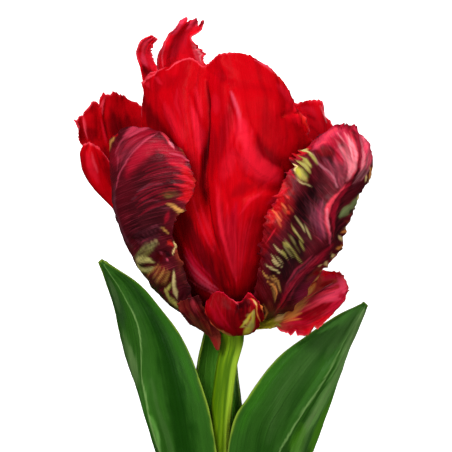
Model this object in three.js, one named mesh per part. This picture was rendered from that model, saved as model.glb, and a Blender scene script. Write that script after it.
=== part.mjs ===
// A parrot tulip, one cut flower, laid down on its back on a surface.
// Millimetres, +Z up, +Y along the flower towards its bloom. The flower is drawn round the foot of its bloom:
// X to the right, Y towards the petals' tips, Z up to whoever looks down on it.
import * as THREE from 'three';

// Driving dimensions
const petalThickness = 0.8;
const leafThickness = 1.0;
const floorHeight = -42.4;        // the surface, below the foot of the bloom
const stemRadius = 3.4;
const stemSides = 14;
const ridgeRadius = 2.6;          // flat top of the receptacle, which carries pistil and stamens

const red = 0xc40a18;
const brightRed = 0xd80f1c;
const wine = 0x5a0f22;
const leafGreen = 0x2c6a2c;
const stemGreen = 0x8fae3a;

const flower = new THREE.Group();

function addPiece(name, geometry, color, roughness) {
  const material = new THREE.MeshStandardMaterial({ color, roughness, metalness: 0 });
  const mesh = new THREE.Mesh(geometry, material);
  mesh.name = name;
  flower.add(mesh);
}

function closedGeometry(positions, faces) {
  const geometry = new THREE.BufferGeometry();
  geometry.setAttribute('position', new THREE.Float32BufferAttribute(positions.flat(), 3));
  geometry.setIndex(faces.flat());
  geometry.computeVertexNormals();
  return geometry;
}

function catmullRom(points) {
  return new THREE.CatmullRomCurve3(points, false, 'catmullrom', 0.5);
}

// The narrow foot of a petal, tangent to a ring round the flower's axis; angle 0 faces up, 90 is at the right
function claw(angle, radius, height, width) {
  const spread = [-0.5, -0.25, 0, 0.25, 0.5];
  return spread.map((s) => {
    const turn = THREE.MathUtils.degToRad(angle) + (s * width) / radius;
    return [radius * Math.sin(turn), height, radius * Math.cos(turn)];
  });
}

// A repeatable number from 0 to 1 for the n-th tooth of a margin
function unevenness(n, seed) {
  const value = Math.sin(n * 12.9898 + seed * 78.233) * 43758.5453;
  return value - Math.floor(value);
}

// A surface through rows of points. Rows go from the foot to the tip,
// and each from the left margin to the right.
function surface(rows, ruffle) {
  const rowCurves = rows.map((row) => catmullRom(row.map((p) => new THREE.Vector3(...p))));
  const flat = (u, v) => catmullRom(rowCurves.map((curve) => curve.getPoint(u))).getPoint(v);
  const step = 0.004;
  const normalAt = (u, v) => {
    const across = flat(Math.min(u + step, 1), v).sub(flat(Math.max(u - step, 0), v));
    const along = flat(u, Math.min(v + step, 1)).sub(flat(u, Math.max(v - step, 0)));
    return across.cross(along).normalize();
  };
  const wave = (u, v) => {
    const side = Math.abs(2 * u - 1) ** 4;
    const sides = side * Math.sin(Math.PI * 2 * (ruffle.alongWaves * v + (u < 0.5 ? 0 : 0.3) + ruffle.seed));
    const top = v ** 6 * Math.sin(Math.PI * 2 * (ruffle.acrossWaves * u + ruffle.seed));
    return ruffle.height * (sides * Math.min(1, 3 * v) + top);
  };
  const pointAt = (u, v) => flat(u, v).addScaledVector(normalAt(u, v), wave(u, v));
  return { pointAt, normalAt };
}

// A thin blade along that surface, both faces split alike, with teeth along its margins
function blade(rows, { across, along, thickness, ruffle, teeth }) {
  const { pointAt, normalAt } = surface(rows, ruffle);
  const positions = [];
  const faces = [];
  const addPair = (point, normal) => {
    const upper = point.clone().addScaledVector(normal, thickness / 2);
    const lower = point.clone().addScaledVector(normal, -thickness / 2);
    const low = Math.min(upper.z, lower.z);
    if (low < floorHeight) {
      const outer = upper.z < lower.z ? upper : lower;
      const inner = outer === upper ? lower : upper;
      outer.z = floorHeight;
      inner.z = Math.max(inner.z, floorHeight + thickness);
    }
    positions.push(upper.toArray(), lower.toArray());
    return positions.length - 2;
  };
  const grid = [];
  for (let j = 0; j <= along; j += 1) {
    grid.push([]);
    for (let i = 0; i <= across; i += 1) {
      const u = i / across;
      const v = j / along;
      const point = pointAt(u, v);
      grid[j].push({ point, normal: normalAt(u, v), index: addPair(point, normalAt(u, v)) });
    }
  }
  for (let j = 0; j < along; j += 1) {
    for (let i = 0; i < across; i += 1) {
      const a = grid[j][i].index;
      const b = grid[j][i + 1].index;
      const c = grid[j + 1][i + 1].index;
      const d = grid[j + 1][i].index;
      faces.push([a, b, c], [a, c, d], [a + 1, c + 1, b + 1], [a + 1, d + 1, c + 1]);
    }
  }
  // the rim goes round anticlockwise: foot, right margin, tip, left margin
  const rim = [];
  for (let i = 0; i < across; i += 1) rim.push([grid[0][i], grid[0][i + 1], null]);
  for (let j = 0; j < along; j += 1) rim.push([grid[j][across], grid[j + 1][across], grid[j][across - 1]]);
  for (let i = across; i > 0; i -= 1) rim.push([grid[along][i], grid[along][i - 1], grid[along - 1][i]]);
  for (let j = along; j > 0; j -= 1) rim.push([grid[j][0], grid[j - 1][0], grid[j][1]]);
  rim.forEach(([from, to, inward], n) => {
    const first = from.index;
    const second = to.index;
    const size = inward && teeth ? teeth.length * (0.35 + 0.65 * unevenness(n, teeth.seed)) : 0;
    if (size === 0 || n - across < teeth.from || n % teeth.every !== 0) {
      faces.push([first, first + 1, second + 1], [first, second + 1, second]);
      return;
    }
    const outward = from.point.clone().sub(inward.point).normalize();
    const middle = from.point.clone().lerp(to.point, 0.5).addScaledVector(outward, size);
    const tip = addPair(middle, from.normal.clone().lerp(to.normal, 0.5).normalize());
    faces.push([first, tip, second], [first + 1, second + 1, tip + 1]);
    faces.push([first, first + 1, tip + 1], [first, tip + 1, tip]);
    faces.push([tip, tip + 1, second + 1], [tip, second + 1, second]);
  });
  return closedGeometry(positions, faces);
}

// A round body along a path, with a radius at each of its points
function roundBody(path, radii, sides, steps) {
  const curve = catmullRom(path.map((p) => new THREE.Vector3(...p)));
  const size = catmullRom(radii.map((radius) => new THREE.Vector3(radius, 0, 0)));
  const positions = [];
  const faces = [];
  const sideways = new THREE.Vector3(1, 0, 0);
  for (let j = 0; j <= steps; j += 1) {
    const centre = curve.getPoint(j / steps);
    const tangent = curve.getTangent(j / steps);
    const first = sideways.clone().addScaledVector(tangent, -sideways.dot(tangent)).normalize();
    const second = tangent.clone().cross(first);
    const radius = size.getPoint(j / steps).x;
    for (let i = 0; i < sides; i += 1) {
      const turn = (i / sides) * Math.PI * 2;
      const point = centre.clone();
      point.addScaledVector(first, radius * Math.cos(turn)).addScaledVector(second, radius * Math.sin(turn));
      point.z = Math.max(point.z, floorHeight);
      positions.push(point.toArray());
    }
  }
  const foot = positions.push(curve.getPoint(0).toArray()) - 1;
  const head = positions.push(curve.getPoint(1).toArray()) - 1;
  for (let i = 0; i < sides; i += 1) {
    const next = (i + 1) % sides;
    faces.push([foot, next, i], [head, steps * sides + i, steps * sides + next]);
    for (let j = 0; j < steps; j += 1) {
      const a = j * sides + i;
      const b = j * sides + next;
      faces.push([a, b, b + sides], [a, b + sides, a + sides]);
    }
  }
  return closedGeometry(positions, faces);
}

const smoothEdge = { height: 0, alongWaves: 0, acrossWaves: 0, seed: 0 };

// Stem: from the cut end, which lies on the surface, up to the receptacle inside the petals' feet
const stemPath = [
  [4, -190, floorHeight + stemRadius], [2, -172, -38.6], [-1.5, -140, -34.5], [-3.5, -105, -27],
  [-4.5, -70, -17], [-4.2, -39.3, -7], [-3.5, -26, -3.5], [-2, -12.7, -1],
  [0, -4, 0], [0, 0, 0], [0, 2, 0], [0, 4, 0], [0, 5.5, 0],
];
const stemRadii = [3.6, 3.5, 3.4, 3.4, 3.4, 3.45, 3.5, 3.5, 3.7, 4.2, 4.0, 3.0, ridgeRadius];
addPiece('stem', roundBody(stemPath, stemRadii, stemSides, 48), stemGreen, 0.45);

// Leaves: each clasps the stem with its foot and is folded along its midrib
const leftLeaf = [
  [[-4.5, -103, -31.6], [-7.5, -104, -30], [-8.3, -105, -26.5], [-7, -104, -23.4], [-3.5, -103, -22.2]],
  [[-11, -86, -38.5], [-14, -85, -29], [-14.5, -85, -21], [-9.5, -85, -16.5], [-1.5, -85, -15.3]],
  [[-19.4, -63, -43.5], [-21.6, -62, -27], [-20, -62, -15], [-12.5, -62, -8.5], [-1.5, -62, -7.8]],
  [[-25.3, -39, -34], [-25.5, -39, -20], [-23, -39, -9], [-15, -39, -2.5], [-5.3, -39, -0.8]],
  [[-29.4, -23.7, -27], [-29.3, -23.7, -16], [-27.3, -23.7, -7], [-17.5, -23.7, 0], [-8.3, -23.7, 1.5]],
  [[-35.8, -4, -20], [-33.4, -4, -11], [-29, -4, -5], [-22.5, -4, -1], [-15.7, -4, 0]],
  [[-38.5, 8.3, -14], [-36, 8.3, -8.5], [-32.5, 8.3, -4.5], [-28.5, 8.3, -2.5], [-24.3, 8.3, -2]],
  [[-41.4, 16.3, -9], [-39.2, 16.3, -6.5], [-36.7, 16.3, -4.5], [-34.2, 16.3, -3.5], [-31.7, 16.3, -3.5]],
  [[-44.6, 23.5, -4.5], [-44.3, 23.8, -4.2], [-44, 24, -4], [-43.6, 23.9, -4], [-43.3, 23.6, -4]],
];
const rightLeaf = [
  [[-3.5, -121, -25.8], [0.8, -122, -27.3], [2.2, -123, -30.8], [0.8, -122, -34], [-2.5, -121, -35.5]],
  [[-5, -97, -16.5], [2.5, -98, -18], [6.5, -100, -25], [6, -99, -32.5], [3, -98, -40.5]],
  [[-4, -68, -3.8], [4, -69, -6.3], [11, -72, -15], [14, -73, -28], [14, -74, -43.5]],
  [[-0.5, -34, 2.7], [8, -36, 0], [16.7, -39.3, -6], [22.5, -41.5, -15], [26, -43, -28]],
  [[5.5, -21.7, 3.5], [14, -23.5, 1.5], [23, -25.7, -3.5], [27.7, -27, -10.5], [31, -28, -20]],
  [[14.8, -9.3, 2.5], [22.5, -11.5, 1], [31, -14, -3], [33.1, -15.2, -8.5], [34.4, -16, -15]],
  [[25, -1.3, 0.5], [31, -2.2, -0.5], [37, -3.5, -3], [37.7, -4.4, -6.3], [38.3, -5, -10]],
  [[35, 5.3, -2], [38.2, 5, -2.3], [41.3, 4.5, -3.3], [41.8, 3.8, -5], [42.3, 3, -7]],
  [[44.3, 9.6, -4], [44.6, 9.5, -4], [44.9, 9.3, -4.1], [45.1, 9, -4.3], [45.2, 8.7, -4.6]],
];
const backLeaf = [
  [[-8.9, -83, -21], [-7.5, -84, -24.8], [-4.4, -85, -26.4], [-1.2, -84, -24.8], [0.2, -83, -21]],
  [[-11, -60, -15.5], [-9.5, -60, -20], [-4.5, -61, -22.5], [1, -60, -20], [3.5, -60, -16]],
  [[-13, -36, -12], [-10, -36, -16], [-5, -37, -19], [1, -36, -16.5], [4, -35, -12.5]],
  [[-12, -14.5, -11], [-9.5, -15, -15], [-5, -16, -18.5], [-0.5, -15, -16], [2, -15, -12]],
  [[-9, -0.5, -16], [-7.5, -0.5, -19.5], [-4.5, -1, -22.5], [-1.5, -0.5, -21], [0, -0.5, -18]],
  [[-5, 11.5, -26.5], [-4.5, 11.8, -26.8], [-4, 12, -27], [-3.5, 11.8, -27], [-3, 11.5, -27]],
];
const leafShape = { across: 8, along: 24, thickness: leafThickness, ruffle: smoothEdge, teeth: null };
addPiece('leaf_left', blade(leftLeaf, leafShape), leafGreen, 0.5);
addPiece('leaf_right', blade(rightLeaf, leafShape), leafGreen, 0.5);
addPiece('leaf_back', blade(backLeaf, { ...leafShape, along: 16 }), leafGreen, 0.5);

// Inner petals
const frontPetal = [
  claw(0, 3.9, 4, 4.5),
  [
    [-15.3, 11.8, 6.5], [-11, 12.4, 11.5], [-7, 12.6, 14.5], [-4, 12.6, 15.5],
    [0, 12.5, 17.5], [4, 12.6, 17], [9, 13, 14], [13, 14, 8],
  ],
  [
    [-21, 27, 12.5], [-16, 26.4, 19], [-11.5, 26, 22], [-7.5, 25.5, 23.5],
    [-1, 25, 28], [5, 25, 28], [12, 25.5, 24], [20, 27, 14],
  ],
  [
    [-28, 44, 12], [-22.5, 43.5, 21.5], [-15, 43, 27], [-9, 42.5, 27.5],
    [-1, 42, 33.5], [6, 42, 34.5], [15, 42.5, 30], [25, 44, 17],
  ],
  [
    [-30, 62, 5], [-24.5, 62, 16.5], [-16.5, 61.5, 26.5], [-9, 61, 27.5],
    [-1, 60.5, 34.5], [8, 60, 35.5], [18, 60, 30.5], [27, 58, 18],
  ],
  [
    [-29.5, 76, 8], [-24.5, 77, 18], [-16.5, 78, 25.5], [-9.8, 76, 25],
    [-2, 77, 33], [8, 76, 33], [18, 71.5, 28.5], [25.5, 65.5, 19],
  ],
  [
    [-30.3, 83.5, 8], [-23.3, 87.6, 16], [-14.5, 91.3, 22.5], [-8.8, 88.3, 22.8],
    [-3.5, 92.3, 28], [5, 92, 28], [15.8, 84.3, 26], [25.5, 68, 20],
  ],
];
const backLeftPetal = [
  claw(-115, 3.9, 4, 4),
  [[-12.5, 13, -2], [-13, 12.5, -6.5], [-11, 12, -10.5], [-7, 12.5, -13.5]],
  [[-22, 31, -1], [-24.5, 30, -9], [-21, 29, -17], [-13, 30, -22]],
  [[-29, 48, -3], [-30, 47, -12.5], [-25.5, 46, -21], [-16, 47, -26.5]],
  [[-41.5, 56, -16], [-38, 55.5, -18.5], [-31, 55, -22.5], [-20, 56, -26.5]],
  [[-50.6, 63.5, -14], [-46, 63, -18.5], [-36, 64.5, -22], [-24, 66, -25]],
  [[-52.8, 69.4, -13], [-48.2, 76.8, -16], [-38.8, 79.9, -19.5], [-24, 72, -24]],
];
const backRightPetal = [
  claw(115, 3.9, 4, 4),
  [[7, 12.5, -13.5], [11, 12, -10.5], [13, 12.5, -5.5], [12.5, 13, 0]],
  [[13, 30, -22], [21, 29, -17], [25.5, 30, -7], [23, 31, 4]],
  [[15, 47, -27], [26, 46, -21.5], [32, 47, -9], [30, 48, 7]],
  [[15, 60, -27], [24.5, 59.5, -23], [31.5, 60, -12], [33, 59.5, 5]],
  [[15, 74, -25], [21.8, 76.8, -21], [29, 77.4, -14.5], [33.8, 69, -1]],
];
// Outer petals
const leftPetal = [
  claw(-60, 5.1, 2, 5.2),
  [[-14.6, 9.8, -2.2], [-18.3, 9.2, 1.2], [-20.5, 9, 6], [-16.6, 6.6, 11.5], [-9.5, 5.5, 13.5]],
  [[-26.3, 23, -4.5], [-29.5, 21.5, 0], [-30.5, 21, 7], [-25.5, 19.5, 16.5], [-14.8, 17.5, 22.3]],
  [[-34, 38, -6.5], [-36.8, 36.5, -0.5], [-37.5, 36, 9], [-32, 35, 21], [-19.3, 34, 30]],
  [[-37, 51, -4.5], [-39.5, 49.5, 1], [-39, 47.5, 13], [-30, 47, 28], [-12.7, 46, 36.5]],
  [[-39.4, 61, -2.5], [-40.9, 59.5, 4], [-38, 59, 16], [-28.5, 58, 29], [-13, 54, 36.5]],
  [[-40.6, 64, -1], [-38.8, 66, 5.5], [-33, 68, 14], [-25.5, 66.5, 24.5], [-16.7, 60.5, 32.5]],
  [[-38.5, 62, 0.5], [-35.5, 63.5, 7.5], [-30.5, 64.7, 13], [-24.5, 62.7, 21.5], [-18, 57.7, 28.5]],
];
const rightPetal = [
  claw(60, 5.1, 2, 5.2),
  [[6.4, 10, 17.8], [10, 8.5, 17.6], [13, 8, 16], [15.3, 8, 13.5], [17, 7.5, 10], [17.7, 7, 6.5]],
  [[8.4, 21, 27.2], [12.4, 20, 29.2], [16.7, 19, 27.5], [20, 19.5, 26], [24.5, 17.5, 19.5], [27, 15.5, 12.5]],
  [[9.5, 30, 33], [16, 29.3, 36], [23, 28.5, 33], [29.5, 29, 30.5], [33.3, 27.6, 23.5], [35.3, 27.8, 15.5]],
  [[11.8, 38.5, 37], [18, 38, 39], [25, 37.7, 35], [31, 38, 33], [35.6, 37, 27], [38.9, 36.3, 19]],
  [[14.8, 45.5, 39], [21, 46, 41], [28, 46, 36.5], [34, 46.7, 33], [39, 46, 27], [41.5, 44.8, 19]],
  [[19.8, 56, 38], [26, 55.3, 38], [33, 54.7, 34], [40, 55, 29], [44.8, 53.4, 24], [46.9, 51.4, 17]],
  [[26, 63, 33], [31, 64, 32], [36, 64.5, 29.5], [41, 63, 26], [44.2, 62, 22], [45.6, 60.5, 17]],
  [[30.5, 65.6, 28], [34, 68.2, 26], [37.5, 69.3, 24.5], [40, 68.4, 23.5], [42.2, 66.3, 21], [43.7, 65, 18]],
];
const rearPetal = [
  claw(180, 5.1, 2, 5.2).reverse(),
  [[-10, 9, -12], [-6, 8, -15.5], [0, 7.5, -17], [7, 8, -15.5], [12, 9, -11]],
  [[-20, 23, -23], [-11.5, 21, -30.5], [0, 20, -33], [13, 21, -30], [24, 23, -19]],
  [[-26, 39, -30], [-15, 38, -39], [0, 37, -42], [17, 38, -38.5], [31, 40, -24]],
  [[-25.5, 54, -32], [-14.5, 53, -40.5], [0, 52, -43.5], [16.5, 53, -40], [30, 54, -27]],
  [[-21, 71, -31.5], [-11.5, 71, -36.5], [0, 70, -38.5], [13, 71, -36.5], [24, 70, -29]],
  [[-16, 83, -26], [-8, 88, -28], [1, 90.5, -28.5], [9.5, 89, -27], [16.8, 82.5, -24]],
];
const sidePetal = [
  claw(-111, 5.1, 2, 1.8),
  [[-13.5, 9.5, -11.5], [-16.5, 8.8, -9.5], [-17.5, 8.6, -7], [-16.8, 9, -5]],
  [[-25.5, 26, -16], [-29, 25.5, -14], [-30.5, 25, -10.5], [-28.8, 25, -8]],
  [[-31.5, 38, -18], [-35.7, 38, -16], [-37.3, 38, -12], [-36, 38, -9.5]],
  [[-41.5, 51, -16], [-48.2, 51, -13], [-45.8, 48.9, -6.5], [-38.6, 46, -8.8]],
  [[-44, 60, -13], [-50.5, 59, -10], [-48, 58, -4], [-40.6, 56, -6.5]],
  [[-46.5, 62.5, -10.5], [-49.3, 62.6, -8], [-47.5, 63.2, -5], [-44.5, 61.7, -5]],
];
const topPetal = [
  claw(162, 3.9, 4, 1.5).reverse(),
  [[-3, 13, -11], [0, 12.5, -12], [3, 13, -11]],
  [[-10, 35, -17], [-5, 35, -19], [1, 35, -19]],
  [[-18, 60, -19], [-11, 60, -21], [-4, 60, -20]],
  [[-23.5, 81, -17], [-16, 81, -20], [-8, 80, -18]],
  [[-25.3, 91.5, -14], [-17, 91.5, -17.5], [-9.2, 91, -15]],
  [[-22.3, 98, -12], [-16.5, 98, -14], [-12.3, 97.5, -12]],
  [[-19.2, 101.8, -9], [-14.5, 102.2, -11], [-10, 101.2, -10]],
  [[-17, 103.6, -8], [-13.2, 104.4, -9], [-9.6, 102.8, -8.5]],
];
const hornPetal = [
  claw(-162, 3.9, 4, 1.5).reverse(),
  [[-8, 13, -8], [-6.5, 12.5, -9.5], [-5, 13, -11]],
  [[-19, 35, -10], [-17, 35, -13], [-14, 35, -15]],
  [[-26, 60, -11], [-24, 60, -14], [-20, 60, -15]],
  [[-29, 79, -11], [-27, 79, -13], [-23.5, 79, -13]],
  [[-30.6, 88, -9], [-28, 88, -11.5], [-25, 88.5, -12]],
  [[-32, 93, -7], [-29.5, 93, -9], [-27, 93, -9.5]],
  [[-30.8, 97, -5], [-28.5, 96.3, -7], [-26.8, 95.3, -7]],
  [[-27, 99.3, -3.5], [-26, 98.5, -4], [-25.2, 97.6, -4.5]],
];
const lowRightPetal = [
  claw(86, 6.6, 0.6, 3),
  [[12, 0.9, 6.5], [13, 2.8, 5], [13.6, 6.4, 1.5]],
  [[18.9, -0.6, 9.5], [20, 4.6, 7.6], [20, 11.2, 0.8]],
  [[25.5, -1.1, 11.5], [27, 6.5, 10.5], [24.8, 16.6, 2.8]],
  [[31.7, 4, 11.5], [32.8, 10.5, 11.5], [29.4, 20.4, 5.8]],
  [[37, 9.3, 10], [39, 14.8, 10], [36.2, 20.1, 8]],
];
const lowFrontPetal = [
  claw(5, 6.7, 0.6, 4),
  [[-6.2, 2.4, 15.5], [-3, -0.2, 16.2], [1.2, -1.2, 16.5], [5.4, -0.6, 16.2], [8.9, 2, 15.2]],
  [[-8.8, 7.3, 20.5], [-4.5, 6.4, 21.9], [1, 5.2, 23], [6, 5.8, 22.5], [10.7, 6.3, 20.7]],
  [[-8, 10.7, 20.2], [-4.3, 13.8, 21.6], [2, 10, 23], [5.7, 13.3, 23.8], [8.7, 10, 22.6]],
];
const spurPetal = [
  [[-5.2, -6, 5.6], [-4.7, -6.2, 5.8], [-4.2, -6, 6]],
  [[-8.4, -1, 6], [-6.2, -1, 7.6], [-3.8, -0.8, 8.2]],
  [[-13.9, 2.6, 13], [-11, 3.4, 14.8], [-7.6, 5.2, 14.6]],
  [[-16.8, 6.2, 17], [-13.6, 7.2, 18.6], [-9.9, 9.3, 18.4]],
  [[-18.3, 9.7, 18.5], [-14.8, 11.2, 20.4], [-11, 12.5, 20.6]],
];

const petals = [
  { name: 'petal_front', rows: frontPetal, color: brightRed, across: 12, along: 14, height: 0.5, teeth: 1.2 },
  { name: 'petal_back_left', rows: backLeftPetal, color: brightRed, across: 9, along: 12, height: 1, teeth: 1.8 },
  { name: 'petal_back_right', rows: backRightPetal, color: brightRed, across: 9, along: 12, height: 1, teeth: 1.8 },
  { name: 'petal_left', rows: leftPetal, color: wine, across: 9, along: 16, height: 0.5, teeth: 2 },
  { name: 'petal_right', rows: rightPetal, color: wine, across: 10, along: 16, height: 0.6, teeth: 2.6 },
  { name: 'petal_back', rows: rearPetal, color: wine, across: 9, along: 12, height: 0.8, teeth: 1.6 },
  { name: 'petal_left_side', rows: sidePetal, color: brightRed, across: 5, along: 11, height: 0.3, teeth: 0.6 },
  { name: 'petal_top', rows: topPetal, color: red, across: 5, along: 15, height: 0.5, teeth: 1.3 },
  { name: 'petal_horn', rows: hornPetal, color: red, across: 4, along: 15, height: 0.2, teeth: 0.9 },
  { name: 'petal_right_low', rows: lowRightPetal, color: red, across: 6, along: 9, height: 0.4, teeth: 1.1 },
  { name: 'petaloid_front_low', rows: lowFrontPetal, color: red, across: 7, along: 7, height: 0.3, teeth: 0.9 },
  { name: 'petaloid_left_low', rows: spurPetal, color: wine, across: 4, along: 7, height: 0.2, teeth: 1 },
];
petals.forEach(({ name, rows, color, across, along, height, teeth }, n) => {
  const ruffle = { height, alongWaves: 4, acrossWaves: 3, seed: n * 0.37 };
  const shape = {
    across, along, ruffle, thickness: petalThickness, teeth: { length: teeth, every: 1, from: 4, seed: n },
  };
  addPiece(name, blade(rows, shape), color, 0.4);
});

// Pistil: a three-sided ovary under a short three-lobed stigma
const pistilPath = [[0, 5.8, 0], [0, 9, 0], [0, 16, 0], [0, 23, 0], [0, 26, 0], [0, 28, 0], [0, 30, 0]];
const pistilRadii = [1, 2.3, 2.9, 2.2, 1.9, 3, 1.8];
addPiece('pistil', roundBody(pistilPath, pistilRadii, 12, 18), 0x9aa65a, 0.6);

// Stamens: six filaments with long dark anthers, in a ring round the pistil
const stamenCount = 6;
for (let n = 0; n < stamenCount; n += 1) {
  const turn = ((n + 0.5) / stamenCount) * Math.PI * 2;
  const stations = [[1.9, 5.8], [4.2, 9.5], [5.4, 14], [6, 18.5], [6.2, 20], [6.5, 24], [6.9, 30], [7.2, 33]];
  const path = stations.map(([radius, height]) => [radius * Math.sin(turn), height, radius * Math.cos(turn)]);
  const radii = [0.35, 0.5, 0.55, 0.45, 1.1, 1.5, 1.3, 0.5];
  addPiece(`stamen_${n + 1}`, roundBody(path, radii, 6, 14), 0x2a1420, 0.7);
}

// The origin is under the middle of the flower, on the surface that it lies on
const extent = new THREE.Box3().setFromObject(flower);
const middle = extent.getCenter(new THREE.Vector3());
flower.position.set(-middle.x, -middle.y, -floorHeight);

export default flower;
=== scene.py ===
from math import cos, pi, radians, sin

import bpy
import numpy as np
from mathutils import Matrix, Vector


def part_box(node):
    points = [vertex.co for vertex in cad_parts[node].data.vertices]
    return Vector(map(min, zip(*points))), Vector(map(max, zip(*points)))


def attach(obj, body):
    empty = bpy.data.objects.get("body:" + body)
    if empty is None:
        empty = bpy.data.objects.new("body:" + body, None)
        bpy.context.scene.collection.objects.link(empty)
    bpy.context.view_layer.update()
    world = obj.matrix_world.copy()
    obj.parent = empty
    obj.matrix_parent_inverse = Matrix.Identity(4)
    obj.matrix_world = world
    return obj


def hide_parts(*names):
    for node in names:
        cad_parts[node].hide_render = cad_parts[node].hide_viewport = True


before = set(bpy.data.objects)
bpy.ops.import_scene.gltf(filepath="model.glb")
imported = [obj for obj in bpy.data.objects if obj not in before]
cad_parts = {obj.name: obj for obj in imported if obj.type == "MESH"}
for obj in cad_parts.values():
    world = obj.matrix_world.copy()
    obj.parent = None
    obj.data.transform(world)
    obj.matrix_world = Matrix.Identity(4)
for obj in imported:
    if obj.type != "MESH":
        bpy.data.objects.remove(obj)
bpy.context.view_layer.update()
scene = bpy.context.scene
bpy.ops.object.select_all(action="DESELECT")

# The flower is drawn round the foot of its bloom, in millimetres: X right, Y to the petals' tips, Z up.
pistilLow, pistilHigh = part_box("pistil")
pistilRise = 0.0058  # how far past the foot the pistil starts, in metres
foot = np.array([(pistilLow.x + pistilHigh.x) / 2, pistilLow.y - pistilRise,
                 (pistilLow.z + pistilHigh.z) / 2])
floorLevel = -1000 * foot[2]

# Marks and folds are drawn on a plan of it seen from above, with Y down. scale: units to a millimetre.
# A leaf's mark that starts above "start" and ends below "end" runs on to the leaf's root.
drawing = {"scale": 3, "foot": (232, 332), "start": 400, "end": 450}

# field: how many millimetres wide the picture is, at the level "above" the foot
shot = {"over": (-2, 35.3), "field": 150.67, "above": 10, "distance": 3.0, "sensor": 36}


def lookDown(shot):
    middle = foot + np.array([*shot["over"], 0]) / 1000
    bpy.ops.object.camera_add(location=(middle[0], middle[1], shot["distance"]), rotation=(0, 0, 0))
    camera = bpy.context.object
    camera.data.sensor_width = shot["sensor"]
    reach = 1000 * (shot["distance"] - foot[2]) - shot["above"]
    camera.data.lens = shot["sensor"] * reach / shot["field"]
    camera.data.clip_start = 0.05
    camera.data.clip_end = 100
    scene.camera = camera


lookDown(shot)
print("camera placed")


class Wire:  # a socket that takes part in sums
    def __init__(self, finish, socket):
        self.finish = finish
        self.socket = socket

    def sum(self, operation, first, second):
        return self.finish.node("ShaderNodeMath", {"operation": operation}, {0: first, 1: second})

    def __add__(self, other):
        return self.sum("ADD", self, other)

    __radd__ = __add__

    def __sub__(self, other):
        return self.sum("SUBTRACT", self, other)

    def __rsub__(self, other):
        return self.sum("SUBTRACT", other, self)

    def __mul__(self, other):
        return self.sum("MULTIPLY", self, other)

    __rmul__ = __mul__


def socketOf(sockets, key):
    if isinstance(key, int):
        return sockets[key]
    return next(s for s in sockets if key in (s.identifier, s.name))


class Finish:  # a material and its nodes
    def __init__(self, name):
        self.material = bpy.data.materials.new(name)
        self.material.use_nodes = True
        self.material.node_tree.nodes.clear()

    def node(self, kind, settings, sockets, out=0):
        made = self.material.node_tree.nodes.new(kind)
        for key, value in settings.items():
            setattr(made, key, value)
        for key, value in sockets.items():
            if isinstance(value, Wire):
                self.material.node_tree.links.new(value.socket, socketOf(made.inputs, key))
            else:
                socketOf(made.inputs, key).default_value = value
        return Wire(self, socketOf(made.outputs, out)) if len(made.outputs) else None

    def painted(self, name, out):  # a value or colour that the mesh carries
        return self.node("ShaderNodeAttribute", {"attribute_name": name}, {}, out)

    def noise(self, place, scale, detail=2.0):
        return self.node("ShaderNodeTexNoise", {}, {"Vector": place, "Scale": scale, "Detail": detail}, "Fac")

    def drawn(self, flow, across, along, detail=2.0):  # noise drawn out along the veins
        place = self.node("ShaderNodeVectorMath", {"operation": "MULTIPLY"}, {0: flow, 1: (across, along, 1)})
        return self.noise(place, 1.0, detail)

    def step(self, value, low, high):  # 0 below low, 1 above high
        return self.node("ShaderNodeMapRange", {"interpolation_type": "SMOOTHSTEP"},
                         {"Value": value, "From Min": low, "From Max": high})

    def blend(self, first, second, factor, how="MIX"):
        return self.node("ShaderNodeMix", {"data_type": "RGBA", "blend_type": how},
                         {"Factor_Float": factor, "A_Color": first, "B_Color": second}, "Result_Color")

    def grey(self, value):
        return self.node("ShaderNodeCombineColor", {}, {0: value, 1: value, 2: value})

    def toned(self, colour, tone):  # a colour made lighter or darker
        return self.blend(colour, self.grey(tone), 1.0, "MULTIPLY")

    def close(self, gloss, colour, roughness, height, depth):
        bump = self.node("ShaderNodeBump", {}, {"Strength": 0.7, "Distance": depth, "Height": height})
        shader = self.node("ShaderNodeBsdfPrincipled", {}, {
            "Specular IOR Level": gloss, "Base Color": colour, "Roughness": roughness, "Normal": bump})
        self.node("ShaderNodeOutputMaterial", {}, {"Surface": shader})
        return self.material


def linear(r, g, b):  # a screen colour, 0 to 255, made linear
    return [c / 255 / 12.92 if c <= 10 else ((c / 255 + 0.055) / 1.055) ** 2.4 for c in (r, g, b)]


def opaque(r, g, b):
    return (*linear(r, g, b), 1)


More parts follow.
